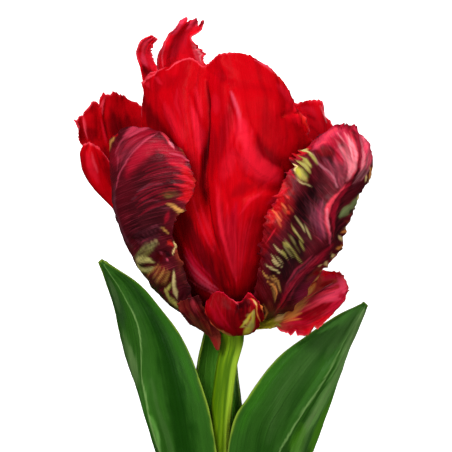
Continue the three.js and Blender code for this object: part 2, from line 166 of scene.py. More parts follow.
colours = {
    "scarlet": linear(190, 1, 12), "red": linear(184, 2, 13), "blood": linear(128, 1, 9),
    "oxblood": linear(84, 1, 6), "ink": linear(50, 0, 3), "ember": linear(218, 40, 30),
    "flame": linear(226, 104, 62), "coral": linear(220, 26, 48), "pink": linear(214, 74, 100),
    "blush": linear(236, 140, 158), "carmine": linear(168, 12, 38), "wine": linear(84, 8, 20),
    "mauve": linear(112, 48, 62), "night": linear(52, 7, 14), "black": linear(26, 3, 7),
    "rust": linear(128, 46, 28), "rose": linear(240, 66, 84), "bead": linear(255, 222, 146),
    "amber": linear(232, 142, 66), "plum": linear(98, 24, 50), "crimson": linear(192, 20, 50),
    "cerise": linear(226, 62, 92), "cherry": linear(124, 28, 54), "acid": linear(196, 186, 44),
    "flare": linear(226, 10, 28), "hot": linear(255, 70, 104), "shell": linear(255, 158, 168),
    "brown": linear(92, 48, 26), "gold": linear(206, 148, 74), "straw": linear(206, 186, 122),
    "lime": linear(164, 156, 74), "olive": linear(116, 112, 48), "moss": linear(84, 96, 36),
    "reed": linear(128, 122, 74), "acidPale": linear(216, 206, 122), "sage": linear(132, 148, 92),
    "leaf": linear(42, 88, 20), "leafDark": linear(17, 58, 3), "leafPale": linear(124, 156, 92),
    "leafBlue": linear(62, 100, 42), "leafGrey": linear(44, 74, 36), "leafDeep": linear(12, 54, 0),
    "leafRim": linear(120, 148, 40), "leafBright": linear(44, 108, 6), "leafBack": linear(84, 148, 40),
    "leafLight": linear(84, 146, 56), "leafLine": linear(150, 190, 110), "leafSun": linear(128, 184, 92),
    # leafSunPatch: a painted patch of sunlight on a leaf.
    "leafSunPatch": linear(92, 162, 30),
}


def sweep(points, t):  # a smooth curve through points
    points = np.asarray(points, float)
    ends = np.concatenate([2 * points[:1] - points[1:2], points, 2 * points[-1:] - points[-2:-1]])
    place = np.clip(t, 0, 1) * (len(points) - 1)
    first = np.minimum(place.astype(int), len(points) - 2)
    w = (place - first).reshape(-1, *[1] * (points.ndim - 1))
    p0, p1, p2, p3 = ends[first], ends[first + 1], ends[first + 2], ends[first + 3]
    a, b = 0.5 * (p2 - p0), 0.5 * (p3 - p1)
    return p1 + w * a + w ** 2 * (3 * (p2 - p1) - 2 * a - b) + w ** 3 * (2 * (p1 - p2) + a + b)


def claw(angle, radius, height, width):  # the narrow foot of a petal, round the flower's axis
    turns = [radians(angle) + s * width / radius for s in (-0.5, -0.25, 0, 0.25, 0.5)]
    return [[radius * sin(turn), height, radius * cos(turn)] for turn in turns]


def haze(x, y, seed, size=128):  # smooth noise from 0 to 1, with a grain of one unit
    table = np.random.default_rng(seed).random((size, size))
    i, j = np.floor(x).astype(int), np.floor(y).astype(int)
    fx, fy = smooth(x - i, 0, 1), smooth(y - j, 0, 1)
    i, j, k, m = i % size, j % size, (i + 1) % size, (j + 1) % size
    low = table[i, j] * (1 - fx) + table[k, j] * fx
    high = table[i, m] * (1 - fx) + table[k, m] * fx
    return low * (1 - fy) + high * fy


def rough(x, y, seed):  # the same with finer grain in it, from -1 to 1
    value = haze(x, y, seed) + 0.5 * haze(2.1 * x, 2.1 * y, seed + 1)
    value = value + 0.25 * haze(4.3 * x, 4.3 * y, seed + 2)
    return value / 0.875 - 1


def smooth(value, low, high):
    t = np.clip((value - low) / (high - low), 0, 1)
    return t * t * (3 - 2 * t)


def unit(vectors):
    return vectors / np.maximum(np.linalg.norm(vectors, axis=2, keepdims=True), 1e-9)


def normalsOf(grid):
    return unit(np.cross(np.gradient(grid, axis=1), np.gradient(grid, axis=0)))


def lengthsAlong(grid, axis):
    steps = np.linalg.norm(np.diff(grid, axis=axis), axis=2)
    return np.insert(np.cumsum(steps, axis=axis), 0, 0, axis=axis)


# The distance to a line drawn on the plan, the place along it from 0 to 1, and the side.
def nearLine(plan, points):
    points = np.asarray(points, float)
    if len(points) == 1:
        gap = np.linalg.norm(plan - points[0], axis=2)
        return gap, 0 * gap + 0.5, 0 * gap + 1
    best = np.full(plan.shape[:2], 1e9)
    place = np.zeros(plan.shape[:2])
    side = np.ones(plan.shape[:2])
    spans = np.linalg.norm(np.diff(points, axis=0), axis=1)
    reached = np.concatenate([[0], np.cumsum(spans)]) / spans.sum()
    for n in range(len(points) - 1):
        way = points[n + 1] - points[n]
        off = plan - points[n]
        t = np.clip((off @ way) / (way @ way), 0, 1)
        gap = np.linalg.norm(off - t[..., None] * way, axis=2)
        closer = gap < best
        best = np.where(closer, gap, best)
        place = np.where(closer, reached[n] + t * (reached[n + 1] - reached[n]), place)
        side = np.where(closer, np.sign(way[1] * off[..., 0] - way[0] * off[..., 1]), side)
    return best, place, side


def swelling(place, end):  # 0 at a line's ends, 1 in its middle
    return np.sqrt(np.clip(np.sin(pi * np.clip(place, end, 1 - end)), 0, 1))


# Teeth along a margin: how far each point stands out, and how it bends.
def serration(run, seed, spacing, length, most=600):
    dice = np.random.default_rng(seed)
    edges = np.cumsum(dice.uniform(0.45, 1.55, most) * spacing)
    sizes = dice.uniform(0.2, 1, most) ** 2 * length
    lean = dice.uniform(0.3, 0.75, most)
    bend = dice.uniform(-1, 1, most)
    k = np.searchsorted(edges, run)
    start = np.where(k > 0, edges[k - 1], 0)
    t = (run - start) / (edges[k] - start)
    shape = np.where(t < lean[k], t / lean[k], (1 - t) / (1 - lean[k]))
    return sizes[k] * shape, bend[k] * sizes[k] * shape


def bladeGrid(piece):  # closer together at the margins and the tip
    across, along = piece["grid"]
    t = np.linspace(0, 1, across + 1)
    u = t - 0.55 * np.sin(2 * pi * t) / (2 * pi)
    t = np.linspace(0, 1, along + 1)
    v = t + 0.35 * np.sin(pi * t) / pi
    rows = np.array([sweep(row, u) for row in piece["rows"]])
    grid = sweep(rows, v)
    return grid, np.broadcast_to(u, grid.shape[:2]), np.broadcast_to(v[:, None], grid.shape[:2])


def ruffled(grid, u, v, piece):  # the slow waves of the margins
    height, seed = piece.get("wave", 0), piece["seed"] * 0.37
    side = np.abs(2 * u - 1) ** 4 * np.sin(2 * pi * (4 * v + np.where(u < 0.5, 0, 0.3) + seed))
    top = v ** 6 * np.sin(2 * pi * (3 * u + seed))
    return grid + normalsOf(grid) * (height * (side * np.minimum(1, 3 * v) + top))[..., None]


def veinFlow(piece, u, width, alongMm):  # veins run side by side, or fan out from a midrib
    spread = u * width
    rise = alongMm.mean(axis=1, keepdims=True) + 0 * u
    if "midrib" in piece:
        middle, angle = piece["midrib"]
        off = (u - middle) * width
        turn = radians(angle)
        spread = rise * sin(turn) - np.abs(off) * cos(turn)
        rise = rise * cos(turn) + np.abs(off) * sin(turn)
    return np.stack([spread, rise, 0 * rise + piece["seed"]], axis=2)


def folded(grid, piece, plan, flow, normal, alive, shown):  # soft folds along the veins, then the drawn ones
    seed, pleat = piece["seed"] * 10, piece["pleat"]
    lift = piece["crumple"] * rough(flow[..., 0] / pleat, flow[..., 1] / (5 * pleat), seed + 1) * alive
    lift = lift + piece.get("dimple", 0.25) * rough(grid[..., 0] / 4, grid[..., 1] / 4, seed + 2) * alive
    for height, breadth, lean, points in piece.get("folds", []):
        gap, place, side = nearLine(plan, points)
        gap = gap / (breadth * np.maximum(1 + lean * side, 0.18))
        lift = lift + height * np.exp(-gap ** 2) * swelling(place, 0.02) * shown
    return grid + normal * lift[..., None]


def toothed(grid, piece, u, v, normal, alive, acrossMm, alongMm):  # curled margins with teeth of uneven size
    seed = piece["seed"] * 10
    sideways, upward = unit(np.gradient(grid, axis=1)), unit(np.gradient(grid, axis=0))
    margins = {
        "left": (acrossMm, alongMm[:, :1] + 0 * u, -sideways, alive, v),
        "right": (acrossMm[:, -1:] - acrossMm, alongMm[:, -1:] + 0 * u, sideways, alive, v),
        "tip": (alongMm[-1:] - alongMm, acrossMm[-1:] + 0 * u, upward, 1, u),
    }
    for n, (side, (depth, run, outward, strength, where)) in enumerate(margins.items()):
        length, spacing, curl, ruffle = piece["teeth"][side]
        lobes = 0.35 + 1.3 * haze(run / (4 * spacing), 0 * run, seed + 5 + n)
        out, bend = serration(run, seed + 20 + n, spacing, length)
        fall = np.exp(-(depth / (1.1 * length + 0.5)) ** 2) * strength
        grid = grid + outward * ((out * lobes - 0.35 * length) * fall)[..., None]
        grid = grid + normal * (curl * bend * lobes * fall)[..., None]
        waves = rough(run / (1.6 * spacing), depth / 6, seed + 40 + n)
        grid = grid + normal * (ruffle * waves * np.exp(-(depth / 3.5) ** 2) * strength)[..., None]
    for side, middle, length, breadth, curl in piece.get("spikes", []):
        depth, run, outward, strength, where = margins[side]
        shape = np.clip(1 - np.abs(where - middle) / breadth, 0, 1) ** 1.3
        fall = np.exp(-(depth / (0.9 * abs(length) + 0.8)) ** 2)
        grid = grid + outward * (length * shape * fall)[..., None]
        grid = grid + normal * (curl * shape * fall)[..., None]
    return grid


def shapeBlade(piece):
    grid, u, v = bladeGrid(piece)
    grid = ruffled(grid, u, v, piece)
    normal = normalsOf(grid) * piece.get("faces", 1)
    shown = smooth(normal[..., 2], -0.15, 0.2)
    (footX, footY), scale = drawing["foot"], drawing["scale"]
    plan = np.stack([footX + scale * grid[..., 0], footY - scale * grid[..., 1]], axis=2)
    acrossMm, alongMm = lengthsAlong(grid, 1), lengthsAlong(grid, 0)
    flow = veinFlow(piece, u, acrossMm[:, -1:].mean(), alongMm)
    edge = np.minimum(np.minimum(acrossMm, acrossMm[:, -1:] - acrossMm), alongMm[-1:] - alongMm)
    alive = smooth(v, 0.03, 0.25)
    grid = folded(grid, piece, plan, flow, normal, alive, shown)
    grid = toothed(grid, piece, u, v, normal, alive, acrossMm, alongMm)
    grid[..., 2] = np.maximum(grid[..., 2], floorLevel + piece["thick"] / 2)
    return grid, paintBlade(piece, plan, v, flow, edge, shown), flow, edge


def drawnLines(piece):  # the marks, then the lines that each fan holds between its first and its last
    lines = list(piece.get("marks", []))
    dice = np.random.default_rng(piece["seed"] * 10 + 70)
    for name, strength, breadth, count, first, last in piece.get("fans", []):
        first, last = np.array(first, float), np.array(last, float)
        for n in range(count):
            t = (n + dice.uniform(0.1, 0.9)) / count
            span = np.linspace(dice.uniform(0, 0.35), dice.uniform(0.65, 1), 7)
            way = sweep(first + t * (last - first), span)
            lines.append((name, strength * dice.uniform(0.3, 1), breadth * dice.uniform(0.7, 1.4), way))
    return lines


def strokeOf(points, piece):  # a smooth line, which runs on to a leaf's root where it is a long one
    if "root" in piece and points[0][1] < drawing["start"] and points[-1][1] > drawing["end"]:
        last, root = np.array(points[-1]), np.array(piece["root"])
        points = points + [last + t * (root - last) for t in (0.12, 0.3, 0.6, 1)]
    if len(points) > 3:
        points = sweep(points, np.linspace(0, 1, 2 * len(points)))
    return points


# Lays one colour over another by a mask: the blades' own markings, and also painted highlights and painted
# shade.
def paintedWith(colour, name, mask):
    return colour + mask[..., None] * (np.array(colours[name]) - colour)


def paintBlade(piece, plan, v, flow, edge, shown):
    seed = piece["seed"] * 10
    body, deep, rim, rimWidth = piece["ground"]
    streak = rough(flow[..., 0] / 3, flow[..., 1] / 30, seed + 60)
    patch = smooth(haze(flow[..., 0] / 4, flow[..., 1] / 4, seed + 61), 0.2, 0.6)
    fray = rough(flow[..., 0] / 0.9, flow[..., 1] / 7, seed + 62)
    colour = np.ones((*v.shape, 3)) * colours[body]
    depth = smooth(1 - v, 0.55, 1) + 0.35 * smooth(streak, 0.1, 0.7)
    colour = paintedWith(colour, deep, np.clip(depth, 0, 1))
    # The rim colour along the margins: on the red petals the rose rim is a painted highlight where the curled
    # edges catch the light, on the wine petals and leaves it is their own margin colour.
    colour = paintedWith(colour, rim, np.exp(-(edge / rimWidth) ** 2) * patch * smooth(v, 0.1, 0.3))
    finest = piece.get("finest", 1)  # no thinner than the blade's mesh can carry
    # Each mark lays its colour along a line: the blades' own markings, and also painted highlights and
    # painted shade.
    for name, strength, breadth, points in drawnLines(piece):
        strength, breadth = strength * min(1, breadth / finest) ** 0.5, max(breadth, finest)
        gap, place, side = nearLine(plan, strokeOf(points, piece))
        if len(points) > 1:
            gap = gap + breadth * (1 - swelling(place, 0.03))
        gap = gap + fray * breadth * 0.45
        colour = paintedWith(colour, name, strength * (1 - smooth(gap, 0.35 * breadth, 1.35 * breadth)) * shown)
    return colour


def pointsOf(mesh):
    flat = np.empty(len(mesh.vertices) * 3)
    mesh.vertices.foreach_get("co", flat)
    return flat.reshape(-1, 3)


def placePoints(mesh, points):
    mesh.vertices.foreach_set("co", points.ravel())
    mesh.update()


def carry(mesh, label, kind, field, values):  # an attribute for the finishes to read
    mesh.attributes.new(label, kind, "POINT").data.foreach_set(field, values.ravel())


def makeBlade(name, piece, finish):
    across, along = piece["grid"]
    grid, colour, flow, edge = shapeBlade(piece)
    bpy.ops.mesh.primitive_grid_add(x_subdivisions=across, y_subdivisions=along, size=2)
    blade = bpy.context.object
    blade.name = name
    points = pointsOf(blade.data)
    order = np.lexsort((np.round(points[:, 0], 5), np.round(points[:, 1], 5)))
    # pigmentAndLight: the blade's colour, with its painted highlights and painted shade in it.
    for label, kind, field, values in (("pigmentAndLight", "FLOAT_COLOR", "color", np.insert(colour, 3, 1, axis=2)),
                                       ("flow", "FLOAT_VECTOR", "vector", flow),
                                       ("edge", "FLOAT", "value", edge[..., None])):
        placed = np.empty((len(points), values.shape[2]))
        placed[order] = values.reshape(-1, values.shape[2])
        carry(blade.data, label, kind, field, placed)
    points[order] = grid.reshape(-1, 3) / 1000 + foot
    placePoints(blade.data, points)
    bpy.ops.object.shade_smooth()
    shell = blade.modifiers.new("thickness", "SOLIDIFY")
    shell.thickness = piece["thick"] / 1000
    shell.offset = 0
    bpy.ops.object.modifier_apply(modifier=shell.name)
    if "underside" in piece:
        plainBack(blade.data, piece["underside"], len(points))
    settle(blade.data)
    dress(blade, piece["node"], finish)


def plainBack(mesh, underside, count):  # a leaf's lower face carries no sunlit marks
    name, strength = underside
    heights = pointsOf(mesh)[:, 2]
    lower = slice(0, count) if heights[:count].mean() < heights[count:].mean() else slice(count, 2 * count)
    pigmentAndLight = np.empty(len(heights) * 4)
    mesh.attributes["pigmentAndLight"].data.foreach_get("color", pigmentAndLight)
    pigmentAndLight = pigmentAndLight.reshape(-1, 4)
    pigmentAndLight[lower, :3] += strength * (np.array(colours[name]) - pigmentAndLight[lower, :3])
    mesh.attributes["pigmentAndLight"].data.foreach_set("color", pigmentAndLight.ravel())


def settle(mesh):  # nothing goes below the surface that the flower lies on
    points = pointsOf(mesh)
    points[:, 2] = np.maximum(points[:, 2], 0)
    placePoints(mesh, points)


def dress(thing, node, finish):
    thing.data.materials.append(finish)
    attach(thing, "root")
    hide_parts(node)
    thing.select_set(False)


def petalFinish(name, look):
    made = Finish(name)
    flow = made.painted("flow", "Vector")
    veins = made.drawn(flow, look["vein"], look["vein"] / 22, 3.0)
    bands = made.drawn(flow, 0.5, 0.05)
    grain = made.drawn(flow, 5, 2.2)
    fine = made.drawn(flow, 4.2, 0.13, 1.0)
    tone = 1.0 + look["contrast"] * (veins - 0.5) + look["bands"] * (bands - 0.5) + 0.16 * (grain - 0.5)
    tone = tone + look["fine"] * (fine - 0.5)
    colour = made.toned(made.painted("pigmentAndLight", "Color"), tone)
    lit = made.step(fine, 0.5, 0.68) * made.step(bands, 0.35, 0.65) * look["sheen"]
    colour = made.blend(colour, look["light"], lit)
    roughness = look["roughness"] + 0.16 * (bands - 0.5) + 0.1 * (grain - 0.5)
    return made.close(look["gloss"], colour, roughness, 0.8 * veins + 0.35 * grain, look["depth"])


petalRed = petalFinish("petalRed", {
    "vein": 1.6, "contrast": 0.1, "bands": 0.16, "fine": 0.1, "sheen": 0.14, "light": opaque(236, 14, 44),
    "depth": 0.0001, "roughness": 0.4, "gloss": 0.02,
})
petalWine = petalFinish("petalWine", {
    "vein": 2.1, "contrast": 0.5, "bands": 0.5, "fine": 0.6, "sheen": 0.2, "light": opaque(204, 60, 84),
    "depth": 0.0004, "roughness": 0.34, "gloss": 0.1,
})
print("petal finishes made")

# A blade's rows go from its foot to its tip, and each row from its left margin to its right one.
# ground: body, foot and rim colours, the rim's width. midrib: its place across, the veins' angle to it.
# teeth: their length, spacing and curl, the margin's ruffle. spikes: margin, place, length, breadth, curl.
# wave: the height of its margins' slow waves. pleat, crumple: the breadth and height of its small folds.
# folds: height, breadth, lean (1: gentle to the right, going down), line.
# marks: colour, strength, breadth, line. fans: colour, strength, breadth, count, first line, last line.
# Marks and fans lay on a blade's own markings and also painted highlights and painted shade, as said at each
# blade.
frontPetal = {
    "node": "petal_front", "slot": "petal_red", "seed": 0, "grid": (220, 190), "thick": 0.45, "wave": 0.5,
    "rows": [
        claw(0, 3.9, 4, 4.5),
        [[-15.3, 11.8, 6.5], [-11, 12.4, 11.5], [-7, 12.6, 14.5], [-4, 12.6, 15.5],
        [0, 12.5, 17.5], [4, 12.6, 17], [9, 13, 14], [13, 14, 8]],
        [[-21, 27, 12.5], [-16, 26.4, 19], [-11.5, 26, 22], [-7.5, 25.5, 23.5],
        [-1, 25, 28], [5, 25, 28], [12, 25.5, 24], [20, 27, 14]],
        [[-28, 44, 12], [-22.5, 43.5, 21.5], [-15, 43, 27], [-9, 42.5, 27.5],
        [-1, 42, 33.5], [6, 42, 34.5], [15, 42.5, 30], [25, 44, 17]],
        [[-30, 62, 5], [-24.5, 62, 16.5], [-16.5, 61.5, 26.5], [-9, 61, 27.5],
        [-1, 60.5, 34.5], [8, 60, 35.5], [18, 60, 30.5], [27, 58, 18]],
        [[-29.5, 76, 8], [-24.5, 77, 18], [-16.5, 78, 25.5], [-9.8, 76, 25],
        [-2, 77, 33], [8, 76, 33], [18, 71.5, 28.5], [25.5, 65.5, 19]],
        [[-30.3, 83.5, 8], [-23.3, 87.6, 16], [-14.5, 91.3, 22.5], [-8.8, 88.3, 22.8],
        [-3.5, 92.3, 28], [5, 92, 28], [15.8, 84.3, 26], [25.5, 68, 20]],
    ],
    "ground": ("scarlet", "blood", "rose", 0.45),
    "pleat": 4, "crumple": 0.2,
    "teeth": {"left": (0.4, 1.6, 0.4, 0.3), "right": (1.6, 2.0, 0.7, 0.7), "tip": (0.8, 1.4, 0.5, 0.5)},
    "spikes": [
        ("tip", 0.93, -2.6, 0.02, 0), ("tip", 0.98, 1.2, 0.02, 0.5), ("right", 0.78, 1.2, 0.02, 0.5),
        ("tip", 0.08, 0.9, 0.05, 0.3), ("tip", 0.19, -0.9, 0.025, 0),
    ],
    "folds": [
        (-2.4, 3.2, 0, [(206, 80), (207, 100), (206, 125), (205, 150), (204, 175), (205, 200), (209, 225),
                        (216, 250)]),
        (1.0, 7, -0.5, [(186, 92), (192, 104), (198, 125), (200, 150), (200, 170)]),
        (1.3, 10, 0.75, [(230, 90), (235, 104), (239, 118), (240, 130), (237, 143), (231, 156)]),
        (1.6, 12, -0.75, [(252, 132), (256, 148), (261, 160), (270, 166), (279, 172), (284, 190)]),
        (-0.5, 6, 0, [(248, 178), (258, 184), (270, 187), (283, 194)]),
        (1.0, 8, 0.6, [(288, 190), (272, 196), (256, 196), (246, 203), (236, 216), (228, 240)]),
        (0.9, 5, 0, [(217, 180), (219, 205), (222, 232), (229, 255), (235, 278)]),
        (-0.8, 4, 0, [(224, 190), (230, 215), (236, 240), (240, 262)]),
        (0.6, 4, 0, [(200, 200), (205, 225), (213, 250)]),
        (-0.8, 6, 0, [(213, 72), (224, 76), (236, 82)]),
        (0.8, 7, 0, [(206, 68), (216, 62), (232, 56)]),
        (-1.3, 3.5, 0, [(280, 118), (288, 115), (297, 112)]),
        (-1.2, 7, 0, [(152, 112), (160, 130), (172, 158), (182, 190)]),
        (0.8, 6, 0, [(163, 96), (170, 112), (178, 134), (184, 150)]),
        (0.7, 9, 0, [(246, 92), (268, 98), (284, 108)]),
        (-0.3, 8, 0, [(236, 88), (256, 86), (276, 92)]),
        (0.9, 5, 0, [(150, 92), (160, 80), (174, 68), (190, 60)]),
    ],
    # Most of these marks are painted light: the coral, pink and rose lines are painted highlights on the
    # ridges, the lit zone and the curled top edge, and the blood, oxblood and ink marks are painted shade in
    # the groove, the valleys, under the left petal and down the lower left.
    "marks": [
        ("oxblood", 0.75, 7, [(143, 96), (149, 112), (157, 128), (170, 142), (186, 153)]),
        ("blood", 0.4, 8, [(156, 92), (164, 84), (178, 78)]),
        ("rose", 0.9, 1.0, [(141, 86), (145, 80), (149, 78.5), (153, 77), (157, 73)]),
        ("rose", 0.9, 0.9, [(155, 76), (158, 71), (161, 68.5), (166, 67)]),
        ("rose", 1, 1.0, [(168, 71), (173, 68.5), (178, 64), (186, 59.5), (192, 58.5), (199, 60)]),
        ("rose", 0.8, 0.8, [(199, 60), (203, 63), (208, 67)]),
        ("coral", 0.6, 2.2, [(144, 84), (148, 84), (151, 88)]),
        ("coral", 0.5, 2, [(156, 78), (160, 80), (163, 86)]),
        ("coral", 0.3, 5, [(166, 104), (176, 124), (184, 142)]),
        ("blood", 0.5, 8, [(176, 150), (190, 158), (200, 178), (202, 200)]),
        ("coral", 0.75, 4.5, [(190, 108), (195, 122), (199, 136), (200, 154)]),
        ("coral", 0.5, 2.5, [(196, 88), (199, 102), (201, 118)]),
        ("coral", 0.35, 2, [(178, 90), (177, 104), (182, 118)]),
        ("blood", 0.65, 7, [(231, 100), (229, 118), (223, 140), (220, 162)]),
        ("blood", 0.6, 6, [(214, 125), (213, 150), (213, 180)]),
        ("oxblood", 0.85, 3.5, [(206, 82), (208, 110), (207, 140), (203, 165), (202, 185), (205, 205)]),
        ("ink", 0.7, 2.5, [(208, 122), (207, 140), (203, 160), (202, 176)]),
        ("coral", 0.35, 5, [(215, 94), (216, 116)]),
        ("pink", 0.6, 2, [(231, 93), (236, 105), (240, 121), (241, 133)]),
        ("coral", 0.8, 8, [(238, 118), (243, 134), (247, 150)]),
        ("coral", 0.6, 13, [(244, 146), (254, 162), (268, 174), (278, 181)]),
        ("coral", 0.35, 7, [(236, 150), (229, 165), (224, 180)]),
        ("blood", 0.7, 10, [(256, 138), (264, 152), (276, 160), (288, 160)]),
        ("blood", 0.4, 14, [(262, 112), (270, 130), (282, 148)]),
        ("oxblood", 0.5, 5, [(262, 146), (270, 158), (284, 170)]),
        ("blood", 0.2, 5, [(214, 74), (224, 80), (238, 86), (254, 88), (270, 92)]),
        ("blood", 0.4, 6, [(216, 75), (227, 80)]),
        ("ember", 0.3, 2.4, [(262, 66), (276, 76), (288, 90), (295, 104)]),
        ("pink", 0.5, 1.6, [(255, 61), (265, 66), (272, 74)]),
        ("ember", 0.6, 2, [(282, 118), (289, 115), (296, 112)]),
        ("ember", 0.6, 3, [(297, 112), (303, 118), (307, 128)]),
        ("flare", 0.9, 7, [(286, 106), (292, 114), (298, 124)]),
        ("blood", 0.4, 5, [(246, 176), (258, 183), (270, 188), (283, 196)]),
        ("blood", 0.5, 7, [(232, 196), (244, 188), (254, 186)]),
        ("coral", 0.6, 4, [(288, 192), (276, 197), (266, 203)]),
        ("coral", 0.5, 1.6, [(240, 214), (249, 200), (262, 192)]),
        ("blood", 0.5, 14, [(258, 212), (252, 238), (246, 262)]),
        ("blood", 0.5, 9, [(250, 262), (250, 276), (244, 290)]),
        ("coral", 0.55, 2.5, [(217, 180), (220, 205), (223, 230), (230, 255), (236, 280)]),
        ("carmine", 0.5, 9, [(236, 206), (230, 228), (234, 258)]),
        ("oxblood", 0.6, 2.4, [(208, 200), (213, 225), (221, 255), (231, 285)]),
        ("oxblood", 0.4, 1.2, [(203, 206), (209, 230), (219, 258), (230, 284)]),
        ("coral", 0.5, 1.2, [(226, 200), (228, 224), (232, 250), (236, 276)]),
        ("blood", 0.5, 1.4, [(222, 196), (224, 222), (229, 250), (235, 280)]),
        ("oxblood", 0.45, 9, [(180, 204), (186, 224), (196, 246), (207, 266), (218, 284)]),
        ("blood", 0.4, 6, [(176, 214), (180, 236), (188, 256)]),
        ("oxblood", 0.5, 9, [(178, 272), (190, 284), (206, 294), (224, 300)]),
        ("blood", 0.35, 16, [(222, 206), (228, 236), (234, 266)]),
        ("red", 0.6, 3, [(200, 196), (206, 218), (214, 240), (222, 258)]),
        ("coral", 0.4, 1.2, [(200, 204), (206, 224), (216, 250)]),
        ("carmine", 0.8, 5.5, [(187, 252), (193, 267), (203, 280), (216, 289)]),
        ("crimson", 0.7, 1.4, [(186, 248), (191, 260), (199, 270), (210, 280)]),
        ("crimson", 0.7, 1.2, [(190, 250), (197, 262), (207, 272), (219, 284)]),
        ("crimson", 0.6, 1.2, [(185, 262), (194, 274), (206, 284)]),
        ("rose", 0.6, 0.9, [(184, 276), (195, 284), (207, 290), (221, 296)]),
        ("cherry", 0.5, 1, [(198, 254), (206, 266), (218, 279)]),
        ("oxblood", 0.6, 4, [(228, 296), (236, 299), (246, 296)]),
        ("ink", 0.7, 4, [(196, 283), (202, 287), (210, 292)]),
        ("blood", 0.5, 5, [(200, 240), (206, 258), (214, 274)]),
        ("coral", 0.4, 5, [(276, 86), (287, 96), (293, 108)]),
        ("oxblood", 0.8, 9, [(180, 208), (188, 226), (198, 246), (211, 268), (226, 290)]),
        ("oxblood", 0.5, 5, [(206, 236), (215, 258), (226, 282)]),
        ("coral", 0.5, 1.6, [(192, 196), (199, 218), (206, 236), (214, 252)]),
        ("coral", 0.7, 1.6, [(219, 200), (222, 224), (228, 250), (234, 276)]),
    ],
    # The coral and pink fans are painted highlights, the blood fans painted shade.
    "fans": [
        ("coral", 0.3, 0.9, 12, [(150, 92), (165, 115), (180, 140), (192, 170)],
         [(204, 74), (203, 100), (202, 140), (201, 180)]),
        ("blood", 0.35, 0.9, 12, [(150, 94), (163, 117), (178, 144), (190, 174)],
         [(204, 78), (202, 106), (201, 144), (200, 184)]),
        ("coral", 0.3, 0.8, 12, [(238, 112), (246, 134), (258, 154), (280, 172)],
         [(219, 96), (221, 130), (219, 166), (219, 204)]),
        ("blood", 0.4, 0.9, 12, [(236, 150), (246, 160), (260, 174), (280, 180)],
         [(214, 110), (215, 140), (213, 176), (214, 210)]),
        ("coral", 0.4, 0.7, 12, [(216, 196), (221, 226), (228, 256), (235, 286)],
         [(258, 200), (250, 230), (244, 260), (239, 288)]),
        ("blood", 0.5, 0.9, 12, [(214, 200), (220, 230), (228, 258), (234, 288)],
         [(268, 214), (256, 240), (248, 264), (240, 290)]),
        ("pink", 0.35, 1.0, 5, [(184, 250), (192, 264), (205, 277), (222, 290)],
         [(184, 276), (196, 284), (208, 289), (224, 296)]),
    ],
}
makeBlade("frontPetal", frontPetal, petalRed)
print("front petal made")

backLeftPetal = {
    "node": "petal_back_left", "slot": "petal_red", "seed": 1, "grid": (110, 130), "thick": 0.45, "wave": 1,
    "rows": [
        claw(-115, 3.9, 4, 4),
        [[-12.5, 13, -2], [-13, 12.5, -6.5], [-11, 12, -10.5], [-7, 12.5, -13.5]],
        [[-22, 31, -1], [-24.5, 30, -9], [-21, 29, -17], [-13, 30, -22]],
        [[-29, 48, -3], [-30, 47, -12.5], [-25.5, 46, -21], [-16, 47, -26.5]],
        [[-41.5, 56, -16], [-38, 55.5, -18.5], [-31, 55, -22.5], [-20, 56, -26.5]],
        [[-50.6, 63.5, -14], [-46, 63, -18.5], [-36, 64.5, -22], [-24, 66, -25]],
        [[-52.8, 69.4, -13], [-48.2, 76.8, -16], [-38.8, 79.9, -19.5], [-24, 72, -24]],
    ],
    "ground": ("red", "oxblood", "rose", 0.4),
    "pleat": 4, "crumple": 0.6,
    "teeth": {"left": (1.2, 1.5, 0.5, 0.5), "right": (0.6, 1.6, 0.5, 0.4), "tip": (1.3, 1.4, 0.6, 0.6)},
    "spikes": [
        ("tip", 0.45, -2.4, 0.06, 0), ("tip", 0.2, -1.3, 0.08, 0), ("tip", 0.66, 0.9, 0.03, 0),
        ("tip", 0.74, 0.8, 0.03, 0),
        ("tip", 0.83, 0.8, 0.03, 0), ("tip", 0.91, 0.7, 0.03, 0),
    ],
    # The rose and coral lines are painted highlights on its fold and rims; the oxblood patches are painted
    # shade in its hollow.
    "marks": [
        ("oxblood", 0.85, 10, [(110, 110), (113, 122), (114, 140)]),
        ("oxblood", 0.7, 12, [(122, 114), (126, 124), (118, 140)]),
        ("rose", 0.7, 2, [(97, 104), (101, 102), (103, 97)]),
        ("rose", 0.6, 1.6, [(82, 114), (83, 122), (85, 132)]),
        ("red", 0.8, 3.5, [(106, 96), (116, 97), (126, 102), (138, 110)]),
        ("scarlet", 0.6, 6, [(84, 118), (93, 112), (101, 118)]),
        ("scarlet", 0.5, 5, [(122, 98), (134, 104), (144, 112)]),
        ("rose", 0.9, 0.9, [(104, 96), (101, 104), (100, 113)]),
        ("coral", 0.5, 1.8, [(97, 118), (101, 131), (104, 142)]),
        ("oxblood", 0.6, 5, [(86, 126), (90, 140)]),
        ("rose", 0.7, 0.9, [(81, 117), (83, 128), (86, 138)]),
        ("oxblood", 0.7, 8, [(102, 150), (108, 160), (114, 170)]),
    ],
    "folds": [
        (1.5, 7, -0.75, [(104, 92), (101, 104), (99, 116), (103, 134), (108, 150)]),
        (-0.8, 6, 0, [(116, 96), (118, 112), (124, 130)]),
        (0.6, 5, 0, [(86, 112), (90, 124), (97, 140)]),
    ],
}
makeBlade("backLeftPetal", backLeftPetal, petalRed)

